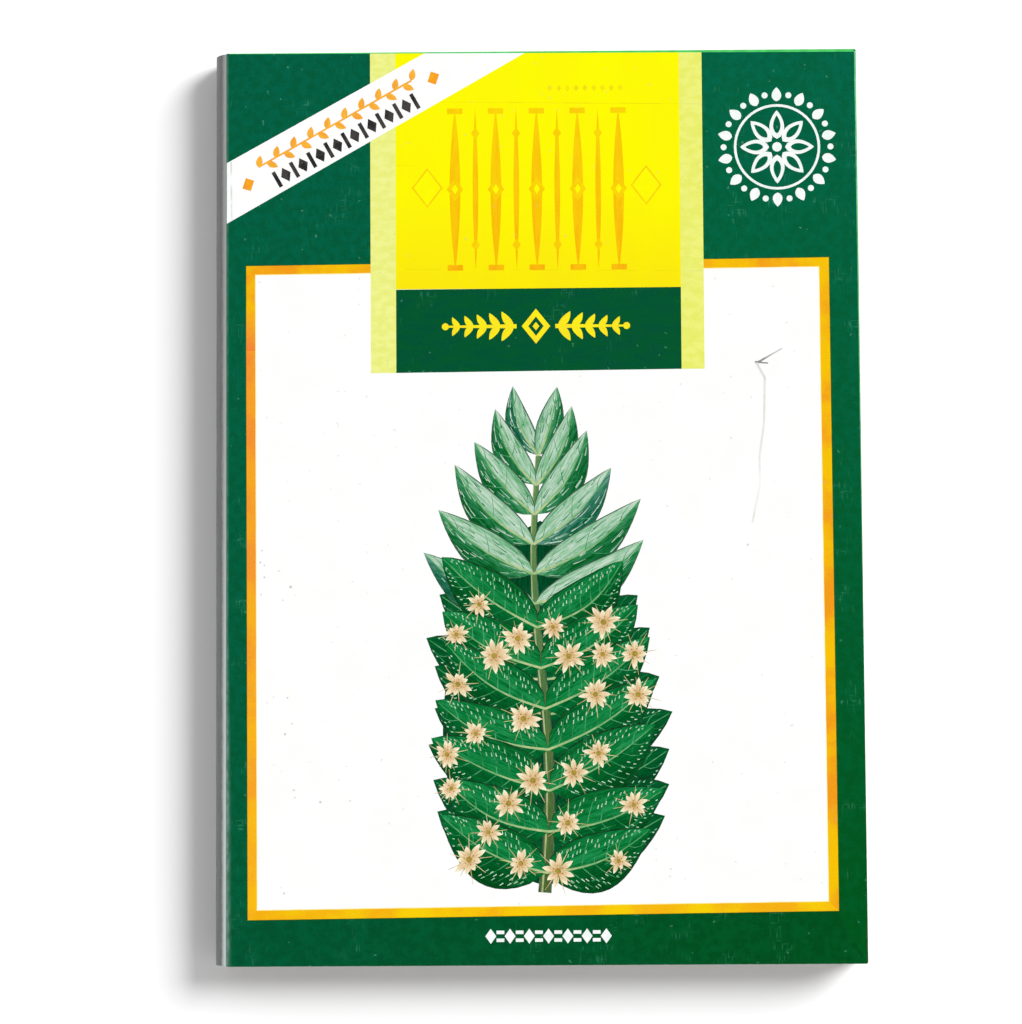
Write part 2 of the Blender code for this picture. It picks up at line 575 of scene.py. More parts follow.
@dataclass(frozen=True)
class PrintedCard:
    """A cover's finish: ink on coated card, with dust, rubs, worn edges, and a pale line along the fold
    that is partly wear and partly painted highlight.
    """

    name: str  # the material's name
    gloss: float = 0.30  # the roughness of sound ink
    specular: float = 0.09  # how much the coating mirrors
    # How many fibres of the card a millimetre holds, and how strongly they show
    tooth: Pair = (3.0, 0.07)
    depth: float = 0.55  # how uneven the ink's depth is
    # How light the ink is where rubs begin to show on it, and where they show in full
    deep: Pair = (0.55, 0.20)
    # How many specks' cells a millimetre holds, the share that shows, and how strongly
    dust: Triple = (0.8, 0.025, 0.28)
    # Each direction's stretch, and the share of the card that it leaves alone
    rubs: tuple[tuple[Triple, float], ...] = (((4.0, 0.5, 1.0), 0.52), ((0.6, 3.6, 1.0), 0.60))
    rub_share: float = 0.17  # how strongly the rubs show
    wear_reach: float = 0.10  # how far the worn edges come in, in millimetres
    wear_share: float = 0.5  # how strongly they show
    roughened: float = 0.3  # how much rougher worn and rubbed ink is
    # From where to where down the sheet the pale line along the fold, partly wear and partly painted
    # highlight, grows
    fold_span: Pair = (95.0, 140.0)
    fold_reach: Pair = (0.62, 1.2)  # how far it comes in, near the head and near the tail
    fold_share: Pair = (0.11, 0.26)  # how strong it is, near the head and near the tail
    share_span: Pair = (60.0, 140.0)  # between which distances from the head that changes
    fold_bare: Colour = (186, 218, 218)  # the pale line's colour: bare card and painted highlight
    bare: Colour = (206, 222, 210)  # the colour that shows through worn ink elsewhere
    scuff: Colour = (96, 196, 160)  # the colour of rubbed ink
    dirt: Colour = (122, 196, 168)  # the colour of dust on deep ink
    speck: Colour = (160, 160, 152)  # the colour of dust on pale ink and bare card

    def material(self, effects: Effects, booklet: Booklet) -> Material:
        """Builds the material.

        Args:
            effects: The shared node groups.
            booklet: The cover's size.

        Returns:
            The material.
        """
        made, g, shader = start_material(self.name)
        place, grain = g.attribute("Place"), g.attribute("Grain")
        ink, vary = g.attribute("Ink", "Color"), g.attribute("Vary", "Color")
        sheet = {"Place": place, "Width": booklet.width, "Height": booklet.height}
        inked = g.use(effects.mottle, Ink=ink, Vary=vary, Grain=grain, Place=place, Depth=self.depth)
        density, dust_share, dust_strength = self.dust
        dust = g.use(effects.dust, Place=place, Scale=density, Share=dust_share)
        rubs = [g.use(effects.rubs, Place=place, Stretch=way, Patch=left) for way, left in self.rubs]
        deep = g.step(g.grey(inked), *self.deep)
        rubbed = g.product(g.maths("MAXIMUM", *rubs), self.rub_share, deep)
        worn = g.use(effects.edge_wear, Reach=self.wear_reach, **sheet)
        speck = g.paint(deep, rgba(self.speck), rgba(self.dirt))
        dusty = g.paint(g.product(dust, dust_strength), inked, speck)
        scuffed = g.paint(rubbed, dusty, rgba(self.scuff))
        edged = g.paint(g.product(worn, self.wear_share), scuffed, rgba(self.bare))
        u, v, _ = g.axes(place)
        # Pale line along the fold, stronger towards the tail: partly worn ink and partly painted highlight
        # on the fold's ridge
        fold = g.step(u, g.step(v, *self.fold_span, *self.fold_reach), 0.0)
        share = g.step(v, *self.share_span, *self.fold_share)
        uneven = g.noise(g.vectors("MULTIPLY", place, (1.2, 0.5, 1.0)), 1.0, 3.0, 0.6)
        fold_line_wear_and_highlight = g.product(fold, fold, share, g.step(uneven, 0.35, 0.65, 0.6, 1.35))
        rough = g.product(g.maths("MAXIMUM", rubbed, worn), self.roughened)
        g.feed(shader, {
            "Base Color": g.paint(fold_line_wear_and_highlight, edged, rgba(self.fold_bare)),
            "Roughness": g.maths("ADD", self.gloss, rough),
            "Normal": g.relief(effects.tooth, place, *self.tooth),
            "Specular IOR Level": self.specular,
        })
        return made


@dataclass(frozen=True)
class SpineCard:
    """The spine strip's finish: plain grey card, pale beside the folds and most at the tail, partly from
    rubbing and partly as painted highlight.
    """

    name: str = "spine_card"  # the material's name
    grey: Colour = (137, 137, 136)  # the card's colour
    dark: Colour = (126, 126, 127)  # its streaks' colour
    bare: Colour = (238, 248, 245)  # what shows beside the folds: rubbed card and painted highlight
    # From how far to how near a fold the rubbing and painted highlight grow, in millimetres
    rub_reach: Pair = (1.30, 0.40)
    rub_span: Pair = (25.0, 150.0)  # from where to where down the strip it grows
    rub_share: Pair = (0.42, 0.95)  # how strong it is, near the head and near the tail
    fold_ink: Colour = (70, 112, 92)  # the covers' ink, which the card meets at the folds
    ink_reach: Pair = (0.17, 0.05)  # from how far to how near a fold that ink grows
    ink_share: float = 0.85  # how strong it is
    gloss: float = 0.5  # its roughness
    roughened: float = 0.2  # how much rougher it is where it is rubbed
    specular: float = 0.2  # how much it mirrors
    # How many fibres a millimetre holds, and how strongly they show
    tooth: Pair = (3.5, 0.25)

    def material(self, effects: Effects, girth: float) -> Material:
        """Builds the material.

        Args:
            effects: The shared node groups.
            girth: The way round the spine from cover to cover, in millimetres.

        Returns:
            The material.
        """
        made, g, shader = start_material(self.name)
        place = g.attribute("Place")
        around, v, _ = g.axes(place)
        streak = g.noise(g.vectors("MULTIPLY", place, (2.5, 0.12, 1.0)), 1.0, 4.0, 0.6)
        card = g.paint(g.step(streak, 0.35, 0.65), rgba(self.grey), rgba(self.dark))
        # Pale beside each fold, most at the tail: partly rubbed card and partly painted highlight where
        # the spine rounds over to the covers
        side = g.nearer(around, girth)
        ragged = g.step(g.noise(place, 0.6, 5.0, 0.7), 0.3, 0.7, 0.9, 1.15)
        strength = g.step(v, *self.rub_span, *self.rub_share)
        far, near = self.rub_reach
        rubbed = g.product(g.step(side, g.product(ragged, far), near), strength)
        pale = g.paint(rubbed, card, rgba(self.bare))
        inked = g.step(side, *self.ink_reach, 0.0, self.ink_share)
        g.feed(shader, {
            "Base Color": g.paint(inked, pale, rgba(self.fold_ink)),
            "Roughness": g.maths("ADD", self.gloss, g.product(rubbed, self.roughened)),
            "Normal": g.relief(effects.tooth, place, *self.tooth),
            "Specular IOR Level": self.specular,
        })
        return made


@dataclass(frozen=True)
class TypeArea:
    """Where a page's rows of type stand, in millimetres."""

    margin: float  # the margin at the spine and at the fore edge
    first: float  # where the rows start, from the head
    last: float  # where they end
    pitch: float  # from one row to the next


class Page(Enum):
    """The kinds of page that the leaves carry."""

    TITLE = TypeArea(margin=30.0, first=44.0, last=64.0, pitch=6.6)
    READING = TypeArea(margin=13.0, first=17.0, last=141.0, pitch=TYPE_PITCH)


@dataclass(frozen=True)
class LeafPaper:
    """The leaves' finish: off-white uncoated paper, browner towards the edges, darker along the cut edges
    from soiling and painted shade between the leaves, with type.
    """

    name: str  # the material's name
    page: Page  # the kind of page
    paper: Colour = (238, 236, 228)  # the paper's colour
    aged: Colour = (224, 217, 200)  # its colour towards the edges
    aged_reach: float = 7.0  # how far in it is aged, in millimetres
    # How strongly it is aged at the edges and, in clouds, elsewhere
    aged_share: Pair = (0.55, 0.3)
    cut: Colour = (176, 170, 158)  # its colour along the cut edges: handling's soiling and painted shade of the gaps between leaves
    cut_reach: Pair = (0.6, 0.32)  # from how far to how near an edge the soiling and painted shade grow
    type_ink: Colour = (70, 68, 66)  # the type's colour
    type_share: float = 0.75  # how strongly the type shows
    roughness: float = 0.85  # the paper's roughness
    specular: float = 0.3  # how much it mirrors
    # How many fibres a millimetre holds, and how strongly they show
    tooth: Pair = (4.0, 0.3)

    def material(self, effects: Effects, booklet: Booklet) -> Material:
        """Builds the material.

        Args:
            effects: The shared node groups.
            booklet: The leaves' size.

        Returns:
            The material.
        """
        made, g, shader = start_material(self.name)
        place = g.attribute("Place")
        width, height, (at_edges, in_clouds) = booklet.width, booklet.height, self.aged_share
        worn = g.use(effects.edge_wear, Place=place, Width=width, Height=height, Reach=self.aged_reach)
        cloud = g.step(g.noise(place, 0.05, 4.0, 0.6), 0.3, 0.7, 0.0, in_clouds)
        aged = g.maths("MAXIMUM", g.product(worn, at_edges), cloud)
        sheet = g.paint(aged, rgba(self.paper), rgba(self.aged))
        # Darker along the cut edges: soiling and painted shade of the gaps between the leaves
        trimmed = g.step(g.to_edge(place, width, height), *self.cut_reach)
        streak = g.noise(g.vectors("MULTIPLY", place, (0.03, 0.03, 2.2)), 1.0, 4.0, 0.8)
        soiled_and_shaded = g.product(trimmed, g.step(streak, 0.36, 0.64, 0.25, 1.0))
        cut = g.paint(soiled_and_shaded, sheet, rgba(self.cut))
        fibre = g.noise(g.vectors("MULTIPLY", place, (2.0, 3.0, 9.0)), 1.0, 4.0, 0.7)
        fibrous = g.paint(g.step(fibre, 0.3, 0.7, 0.0, 0.12), cut, rgba(self.aged, 0.8))
        area = {name.capitalize(): value for name, value in asdict(self.page.value).items()}
        rows = g.use(effects.type_rows, Place=place, Width=width, **area)
        g.feed(shader, {
            "Base Color": g.paint(g.product(rows, self.type_share), fibrous, rgba(self.type_ink)),
            "Roughness": self.roughness,
            "Normal": g.relief(effects.tooth, place, *self.tooth),
            "Specular IOR Level": self.specular,
        })
        return made


# ---------------------------------------------------------------- the print


class Shade(Enum):
    """How an ink runs from its near colour to its far one across a shape."""

    FLAT = 0
    ALONG = 1
    ACROSS = 2
    ROUND = 3


@dataclass(frozen=True)
class Ink:
    """A printed colour, in screen colours from 0 to 255."""

    near: Colour  # at a shape's root, midrib or centre
    far: Colour  # at its tip, margin or rim
    vary: Colour  # what the near colour turns to where the ink is blotchy

    @classmethod
    def plain(cls, near: Colour, vary: Colour | None = None) -> "Ink":
        """An ink with one colour from end to end."""
        return cls(near, near, vary or near)


class Inks:
    """The inks of the covers' print, with painted highlights along the front cover's edges and painted
    shade along its crease.
    """

    GREEN = Ink(near=(2, 97, 70), far=(2, 93, 60), vary=(2, 90, 60))
    GREEN_FORE = Ink(near=(1, 102, 73), far=(0, 89, 36), vary=(1, 96, 64))
    GREEN_FOOT = Ink(near=(2, 89, 55), far=(0, 84, 33), vary=(1, 81, 48))
    BOX_GREEN = Ink.plain((2, 82, 52), (3, 86, 46))
    GREEN_OVER = Ink.plain((1, 99, 70), (1, 94, 63))
    OLIVE = Ink.plain((44, 84, 22), (84, 96, 20))
    YELLOW = Ink(near=(253, 251, 2), far=(253, 248, 2), vary=(252, 248, 5))
    YELLOW_LOW = Ink(near=(253, 248, 2), far=(251, 233, 10), vary=(252, 245, 6))
    PALE = Ink(near=(241, 245, 154), far=(238, 242, 114), vary=(234, 239, 136))
    SCAN = Ink.plain((238, 222, 14), (251, 240, 8))
    SCAN_PALE = Ink.plain((226, 230, 122), (238, 240, 130))
    FRAME = Ink.plain((246, 194, 6), (243, 155, 26))
    FRAME_FOOT = Ink.plain((247, 206, 8), (245, 176, 18))
    FRAME_TURN = Ink(near=(246, 190, 8), far=(243, 138, 52), vary=(245, 178, 16))
    FRAME_SIDE = Ink(near=(243, 138, 54), far=(246, 170, 32), vary=(246, 158, 40))
    FRAME_HALO = Ink.plain((255, 241, 150), (254, 248, 196))
    WHITE = Ink.plain((255, 255, 255), (253, 253, 252))
    RIBBON_ORANGE = Ink.plain((245, 164, 56), (250, 184, 56))
    LOZENGE = Ink.plain((246, 152, 42), (250, 172, 30))
    BLACK = Ink.plain((42, 40, 42), (70, 66, 64))
    FAINT = Ink(near=(248, 204, 6), far=(248, 182, 8), vary=(250, 214, 8))
    FAINT_FOOT = Ink.plain((248, 174, 12), (249, 190, 12))
    FAINT_LINE = Ink.plain((247, 208, 14), (249, 220, 14))
    GHOST = Ink.plain((238, 222, 20), (248, 234, 16))
    ORNAMENT = Ink.plain((252, 237, 28), (250, 226, 38))
    KNOCKOUT = Ink.plain((253, 255, 254), (238, 247, 242))
    # Painted highlights: pale green lines where the cover's cut head and fore edges catch the light
    HEAD_EDGE = Ink.plain((84, 214, 108), (72, 196, 98))
    FORE_EDGE = Ink(near=(124, 214, 146), far=(50, 132, 84), vary=(100, 192, 126))
    RUST = Ink.plain((92, 60, 44), (40, 80, 46))
    PENCIL = Ink(near=(126, 128, 128), far=(196, 198, 198), vary=(150, 152, 152))
    FAINT_PENCIL = Ink(near=(204, 206, 202), far=(228, 230, 224), vary=(222, 224, 220))
    SPECK = Ink.plain((200, 202, 200), (218, 220, 216))
    # Painted shade of the crease beside the fold, on the white ribbon
    SCUFF = Ink.plain((222, 224, 222), (250, 251, 250))
    RUB = Ink.plain((30, 112, 84), (60, 134, 108))
    CARD = Ink.plain((238, 236, 227), (233, 230, 218))
    BACK_GREEN = Ink(near=(2, 94, 64), far=(1, 84, 50), vary=(1, 82, 48))

    DEPTH = Ink.plain((0, 62, 32), (0, 78, 40))
    LEAF_LINE = Ink.plain((12, 46, 28), (30, 74, 44))
    LEAF_BACK = Ink(near=(2, 98, 48), far=(0, 70, 30), vary=(0, 82, 38))
    LEAF = Ink(near=(2, 118, 56), far=(0, 82, 32), vary=(0, 100, 42))
    LEAF_LIT = Ink(near=(30, 144, 78), far=(0, 98, 42), vary=(6, 118, 54))
    LEAF_STROKE = Ink.plain((64, 158, 98), (20, 126, 66))
    DARK_STROKE = Ink.plain((0, 72, 32), (0, 92, 44))
    VEIN = Ink.plain((90, 168, 116), (30, 124, 70))
    MIDRIB = Ink(near=(198, 208, 152), far=(96, 168, 112), vary=(160, 190, 128))
    TICK = Ink.plain((208, 230, 210), (150, 202, 164))
    YOUNG_LINE = Ink.plain((40, 70, 54), (84, 116, 92))
    YOUNG = Ink(near=(112, 176, 130), far=(20, 112, 62), vary=(58, 144, 86))
    YOUNG_LIT = Ink(near=(206, 224, 208), far=(96, 164, 118), vary=(146, 196, 156))
    YOUNG_BLUE = Ink(near=(134, 170, 160), far=(34, 110, 84), vary=(84, 140, 122))
    PALE_STROKE = Ink.plain((204, 222, 208), (150, 190, 160))
    YOUNG_STROKE = Ink.plain((20, 132, 66), (60, 124, 96))
    STEM = Ink(near=(84, 104, 50), far=(112, 150, 88), vary=(60, 92, 46))
    STEM_LIT = Ink.plain((178, 188, 136), (150, 168, 112))
    PETAL = Ink(near=(198, 152, 92), far=(246, 232, 202), vary=(220, 186, 132))
    WHISKER = Ink(near=(228, 208, 160), far=(206, 206, 170), vary=(190, 168, 112))
    HEART = Ink(near=(170, 168, 56), far=(190, 140, 72), vary=(140, 150, 44))
    ANTHER = Ink.plain((132, 88, 48), (176, 122, 70))


Trio = tuple[Ink, Ink, Ink]


@dataclass
class Shape:
    """One closed outline of the print, filled with an ink."""

    outline: Array  # corners in print coordinates, counter-clockwise seen from above
    ink: Ink  # what fills it
    shade: Shade = Shade.FLAT  # how the ink runs
    root: Spot = (0.0, 0.0)  # where the shade and the ink's grain start
    axis: Spot = (1.0, 0.0)  # the direction in which they run
    length: float = 1.0  # how far the shade runs along the axis
    half: float = 1.0  # how far it runs across the axis
    # How dense the ink's blotches are along and across the axis, for each millimetre
    grain: Spot = (0.5, 0.5)


@dataclass(frozen=True)
class LeafForm:
    """The form of a leaf or a petal, as a function of two parameters."""

    base: Spot  # where it starts, as u and v
    tip: Spot  # where it ends
    width: float  # its greatest width
    bend: float = 0.0  # how far its midrib bows to the left of the way from base to tip
    fullness: float = 0.8  # below 1 the widest part is nearer the base, above 1 nearer the tip
    blunt: float = 0.8  # below 1 the ends are blunter

    @property
    def way(self) -> Array:
        """The vector from base to tip."""
        return np.subtract(self.tip, self.base)

    @property
    def length(self) -> float:
        """How long it is."""
        return float(np.hypot(*self.way))

    def at(self, along: Any, across: Any) -> Array:
        """Places on the leaf.

        The half width is width / 2 times sin(pi * along ** fullness) ** blunt, and the midrib bows
        sideways by bend * sin(pi * along).

        Args:
            along: From 0 at the base to 1 at the tip.
            across: From -1 at one margin through 0 at the midrib to 1 at the other.

        Returns:
            Rows of u and v.
        """
        along, across = np.broadcast_arrays(np.asarray(along, float), np.asarray(across, float))
        side = np.array([-self.way[1], self.way[0]]) / self.length
        swell = np.sin(np.pi * np.clip(along, 0, 1) ** self.fullness).clip(0) ** self.blunt
        offset = across * self.width / 2 * swell + self.bend * np.sin(np.pi * along)
        return np.asarray(self.base) + along[:, None] * self.way + offset[:, None] * side

    def outline(self, steps: int = 14, low: float = -1.0, high: float = 1.0) -> Array:
        """The closed outline of the strip between two shares across, with no point twice."""
        along = np.linspace(0, 1, steps)
        return np.concatenate([self.at(along, low), self.at(along[1:-1][::-1], high)])


def ribbon_outline(path: Array | Sequence[Spot], start: float, end: float) -> Array:
    """A line with a width: points a half width to either side of a path.

    Args:
        path: Rows of u and v.
        start: The width at the path's start.
        end: The width at its end.

    Returns:
        The closed outline.
    """
    path = np.asarray(path, float)
    way = np.gradient(path, axis=0)
    side = np.stack([-way[:, 1], way[:, 0]], axis=1) / np.hypot(*way.T)[:, None]
    half = np.linspace(start, end, len(path))[:, None] / 2
    return np.concatenate([path + side * half, (path - side * half)[::-1]])


def turned(points: Array | Sequence[Spot], angle: float, centre: Spot) -> Array:
    """Points turned about the origin, by degrees from u towards v, and then moved to a centre."""
    c, s = math.cos(math.radians(angle)), math.sin(math.radians(angle))
    return np.asarray(points, float) @ np.array([[c, s], [-s, c]]) + np.asarray(centre)


def diamond(centre: Spot, width: float, height: float, angle: float = 0.0) -> Array:
    """A diamond's outline."""
    w, h = width / 2, height / 2
    return turned([(w, 0), (0, h), (-w, 0), (0, -h)], angle, centre)


def bar(centre: Spot, width: float, height: float, angle: float = 0.0) -> Array:
    """A rectangle's outline."""
    w, h = width / 2, height / 2
    return turned([(w, -h), (w, h), (-w, h), (-w, -h)], angle, centre)


def grown(corners: Sequence[Spot], by: float) -> Array:
    """A four-cornered outline with each side moved out by a distance, or in where it is below 0."""
    corners = np.asarray(corners, float)
    return corners + np.sign(corners - corners.mean(axis=0)) * by


def disc(centre: Spot, radius: float, steps: int = 16) -> Array:
    """A circle's outline."""
    turn = np.linspace(0, 2 * np.pi, steps, endpoint=False)
    return np.asarray(centre) + radius * np.stack([np.cos(turn), np.sin(turn)], axis=1)


def towards(start: Spot, angle: float, distance: float) -> Spot:
    """The spot at a distance from another, at an angle in degrees clockwise from straight up."""
    turn = math.radians(angle)
    return start[0] + distance * math.sin(turn), start[1] - distance * math.cos(turn)


@dataclass
class Sheet:
    """A printed sheet that is drawn shape over shape."""

    width: float  # its width in millimetres
    height: float  # its height in millimetres
    shapes: list[Shape] = field(default_factory=list)  # what is drawn, the ground first

    def draw(self, outline: Array | Sequence[Spot], ink: Ink, **more: Any) -> None:
        """Lays a shape over those before it.

        Args:
            outline: Corners as u and v, either way round.
            ink: What fills it.
            **more: The other fields of Shape.
        """
        points = np.asarray(outline, float)
        along, down = points.T
        area = np.sum(along * np.roll(down, -1) - np.roll(along, -1) * down)
        self.shapes.append(Shape(points if area < 0 else points[::-1], ink, **more))

    def draw_line(self, path: Any, start: float, end: float, ink: Ink, **more: Any) -> None:
        """Lays a line along a path, as wide as given at its start and at its end."""
        self.draw(ribbon_outline(path, start, end), ink, **more)

    def draw_along(
        self, outline: Any, ink: Ink, start: Spot, end: Spot, shade: Shade = Shade.ALONG, **more: Any
    ) -> None:
        """Lays a shape whose ink runs from its near colour at one spot to its far one at another.

        Args:
            outline: Corners as u and v.
            ink: What fills it.
            start: Where the ink's shade and grain start.
            end: Where its shade ends.
            shade: How the ink runs.
            **more: The other fields of Shape.
        """
        way = np.subtract(end, start)
        length = float(np.hypot(*way))
        axis = tuple(way / length)
        self.draw(outline, ink, shade=shade, root=start, axis=axis, length=length, **more)

    def draw_leaf(self, form: LeafForm, ink: Ink, shade: Shade = Shade.FLAT, **more: Any) -> None:
        """Lays a leaf form over what is there, with its shade and grain running from its base.

        Args:
            form: The leaf.
            ink: What fills it.
            shade: How the ink runs.
            **more: What LeafForm.outline takes, and the shape's grain.
        """
        grain = more.pop("grain", (0.35, 3.2))
        outline, half = form.outline(**more), form.width / 2
        self.draw_along(outline, ink, form.base, form.tip, shade, half=half, grain=grain)

    def corner_inks(self, corners: Array, tops: Array) -> tuple[Array, Array, Array]:
        """What each face corner is printed with.

        The shade's share is the distance from the shape's root along its axis, across it or straight,
        divided by how far it runs. Near and far colours are mixed by it, and the colour where the ink
        varies is moved by as much.

        Args:
            corners: u and v of shape (faces, corners, 2).
            tops: The number of the shape that each face belongs to.

        Returns:
            The ink, the varied ink and the grain's coordinates, each with three numbers a corner.
        """
        root, axis, length, half, grain = (
            np.array([getattr(s, name) for s in self.shapes])[tops][:, None]
            for name in ("root", "axis", "length", "half", "grain")
        )
        shade = np.array([s.shade.value for s in self.shapes])[tops][:, None]
        away = corners - root
        along = np.sum(away * axis, axis=-1)
        across = away[..., 1] * axis[..., 0] - away[..., 0] * axis[..., 1]
        straight = np.hypot(along, across)
        shares = [0 * along, along / length, np.abs(across) / half, straight / length]
        share = np.clip(np.select([shade == s.value for s in Shade], shares), 0, 1)[..., None]
        near, far, vary = (
            np.array([getattr(s.ink, name) for s in self.shapes], float)[tops][:, None]
            for name in ("near", "far", "vary")
        )
        moved = (far - near) * share
        apart = 0 * along + tops[:, None] * 3.7
        spots = np.stack([along * grain[..., 0], across * grain[..., 1], apart], axis=-1)
        return linear(near + moved), linear(vary + moved), spots


@dataclass
class Sprig:
    """The picture in the panel: an upright leafy sprig that is starred with pale flowers."""

    sheet: Sheet  # what it is printed on
    foot: Spot = (55.2, 147.5)  # where its stem is cut
    crown: Spot = (54.6, 71.6)  # where its stem ends
    sway: float = 1.1  # how far the stem sways
    pairs: int = 7  # how many pairs of full-grown leaves it has, and how many darker ones lie behind
    young_pairs: int = 6  # how many pairs of young leaves stand above them
    flowers: int = 27  # how many flowers it has
    starred: tuple[Spot, Spot] = ((38.0, 97.0), (72.0, 144.5))  # the corners of the area that they star
    seed: int = 11  # what its small irregularities start from

    def __post_init__(self) -> None:
        """Starts the seeded randomness."""
        self.rng = np.random.default_rng(self.seed)

    def stem(self, share: Any) -> Array:
        """Places on the stem: a straight line from foot to crown, plus sway * sin(2 pi share)."""
        share = np.atleast_1d(np.asarray(share, float))
        line = np.asarray(self.foot) + share[:, None] * np.subtract(self.crown, self.foot)
        return line + np.stack([self.sway * np.sin(2 * np.pi * share), 0 * share], axis=1)

    def draw(self) -> None:
        """Draws from the back to the front: deep shade, dark leaves, stem, leaves and flowers."""
        mass = LeafForm((55.4, 146.4), (54.8, 83.0), width=35.0, fullness=0.80, blunt=0.5)
        self.sheet.draw_leaf(mass, Inks.DEPTH, steps=20)
        for i in reversed(range(self.pairs)):
            for side in (-1, 1):
                self._draw_grown((i + 0.5) / self.pairs, side, behind=True)
        self._draw_stem()
        for i in reversed(range(self.young_pairs)):
            for side in (-1, 1):
                self._draw_young(i / (self.young_pairs - 1), side)
        for i in reversed(range(self.pairs)):
            for side in (-1, 1) if i % 2 else (1, -1):
                self._draw_grown(i / (self.pairs - 1), side, behind=False)
        for centre in self._scatter():
            self._draw_flower(centre)

    def _draw_stem(self) -> None:
        """Draws the stem as a tapering line with a lit edge."""
        path, end = self.stem(np.linspace(0, 1, 24)), (self.foot[0], self.foot[1] - 80.0)
        self.sheet.draw_line(path, 2.3, 0.9, Inks.YOUNG_LINE)
        self.sheet.draw_along(ribbon_outline(path, 1.9, 0.6), Inks.STEM, self.foot, end, grain=(0.3, 3.0))
        self.sheet.draw_line(path + (-0.45, 0.0), 0.32, 0.16, Inks.STEM_LIT)

    def _draw_grown(self, rank: float, side: int, behind: bool) -> None:
        """Draws a full-grown leaf.

        Args:
            rank: From 0 for the lowest leaf to 1 for the highest.
            side: Left (-1) or right (1).
            behind: Whether it is one of the dark leaves behind the others.
        """
        jitter = self.rng.uniform(-1, 1, 4)
        size = 1 - 0.16 * abs(rank - 0.4)
        base = tuple(self.stem(0.045 + 0.56 * rank)[0])
        lean = side * (68 - 13 * rank + 7 * jitter[1] + (7 if behind else 0))
        form = LeafForm(
            base,
            towards(base, lean, 22.0 * size * (1 + 0.05 * jitter[0])),
            width=10.8 * size * (1 + 0.07 * jitter[2]),
            bend=side * (1.7 + 0.8 * jitter[3]),
            fullness=0.78,
            blunt=0.85,
        )
        halves = (Inks.LEAF_BACK, Inks.LEAF_BACK) if behind else (Inks.LEAF, Inks.LEAF_LIT)
        strokes = (Inks.LEAF_STROKE, Inks.DARK_STROKE, Inks.DARK_STROKE)
        count, insets = (12, (0.15,)) if behind else (30, (0.15, 0.40))
        self._draw_blade(form, side, (Inks.LEAF_LINE, *halves), strokes, count, 7)
        for inset in insets:
            self._draw_ticks(form, inset)

    def _draw_young(self, rank: float, side: int) -> None:
        """Draws a young leaf: slimmer, paler and more upright.

        Args:
            rank: From 0 for the lowest leaf to 1 for the highest.
            side: Left (-1) or right (1).
        """
        jitter = self.rng.uniform(-1, 1, 3)
        size = 1 - 0.42 * rank**1.5
        base = tuple(self.stem(0.66 + 0.34 * rank)[0])
        lean = side * (62 - 44 * rank + 5 * jitter[0])
        form = LeafForm(
            base,
            towards(base, lean, 22.0 * size * (1 + 0.08 * jitter[1])),
            width=7.2 * size,
            bend=side * (2.2 - 1.2 * rank + 0.6 * jitter[2]),
            fullness=0.82,
            blunt=0.95,
        )
        shaded = Inks.YOUNG_BLUE if self.rng.random() < 0.4 else Inks.YOUNG
        strokes = (Inks.PALE_STROKE, Inks.YOUNG_STROKE, Inks.PALE_STROKE)
        inks = (Inks.YOUNG_LINE, shaded, Inks.YOUNG_LIT)
        self._draw_blade(form, side, inks, strokes, 46, 3)

    def _draw_blade(
        self, form: LeafForm, side: int, inks: Trio, strokes: Trio, count: int, veins: int
    ) -> None:
        """Draws a leaf's outline, its two halves, brush strokes, side veins and its midrib.

        Args:
            form: The leaf.
            side: Left (-1) or right (1), which says which half is lit.
            inks: The outline's ink, the shaded half's and the lit half's.
            strokes: The brush strokes' inks.
            count: How many brush strokes it has.
            veins: How many side veins each half has.
        """
        line, shaded, lit = inks
        self.sheet.draw_leaf(replace(form, width=form.width + 0.42, blunt=form.blunt * 0.94), line)
        self.sheet.draw_leaf(form, shaded, Shade.ACROSS)
        low, high = sorted((0.0, -float(side)))
        self.sheet.draw_leaf(form, lit, Shade.ACROSS, low=low, high=high)
        for i in range(count):
            start, across, reach = self.rng.uniform((0.05, -0.88, 0.05), (0.82, 0.88, 0.15))
            t = np.array([0.0, 0.5, 1.0])
            path = form.at(start + reach * t, across * (1 + 0.1 * t))
            self.sheet.draw_line(path, 0.17, 0.06, strokes[i % len(strokes)])
        t = np.linspace(0, 1, 4)
        for start in np.linspace(0.08, 0.76, veins):
            for half in (-1, 1):
                path = form.at(start + 0.15 * t, half * 0.88 * t**0.85)
                self.sheet.draw_line(path, 0.16, 0.06, Inks.VEIN)
        midrib = ribbon_outline(form.at(np.linspace(0.0, 0.97, 12), 0.0), 0.42, 0.12)
        self.sheet.draw_along(midrib, Inks.MIDRIB, form.base, form.tip)

    def _draw_ticks(self, form: LeafForm, inset: float) -> None:
        """Draws a row of short white dashes inside each margin of a leaf.

        Args:
            form: The leaf.
            inset: How far in the dashes end, as a share of the half width.
        """
        for half in (-1, 1):
            for start in np.arange(0.14, 0.90, 0.042):
                if self.rng.random() < 0.18:
                    continue
                reach = 1 - inset - 0.11 + self.rng.uniform(-0.06, 0.06)
                begin = start + self.rng.uniform(-0.01, 0.01)
                path = form.at([begin, begin + 0.018], [half * reach, half * (reach + 0.11)])
                self.sheet.draw_line(path, 0.19, 0.11, Inks.TICK)

    def _scatter(self) -> list[Spot]:
        """Where the flowers are: each the farthest from the rest of a few random places.

        Returns:
            The flowers' centres.
        """
        low, high = self.starred
        spots = self.rng.uniform(low, high, (1, 2))
        while len(spots) < self.flowers:
            tries = self.rng.uniform(low, high, (14, 2))
            nearest = np.hypot(*(tries[:, None] - spots[None]).transpose(2, 0, 1)).min(axis=1)
            spots = np.concatenate([spots, tries[[nearest.argmax()]]])
        return [tuple(spot) for spot in spots]

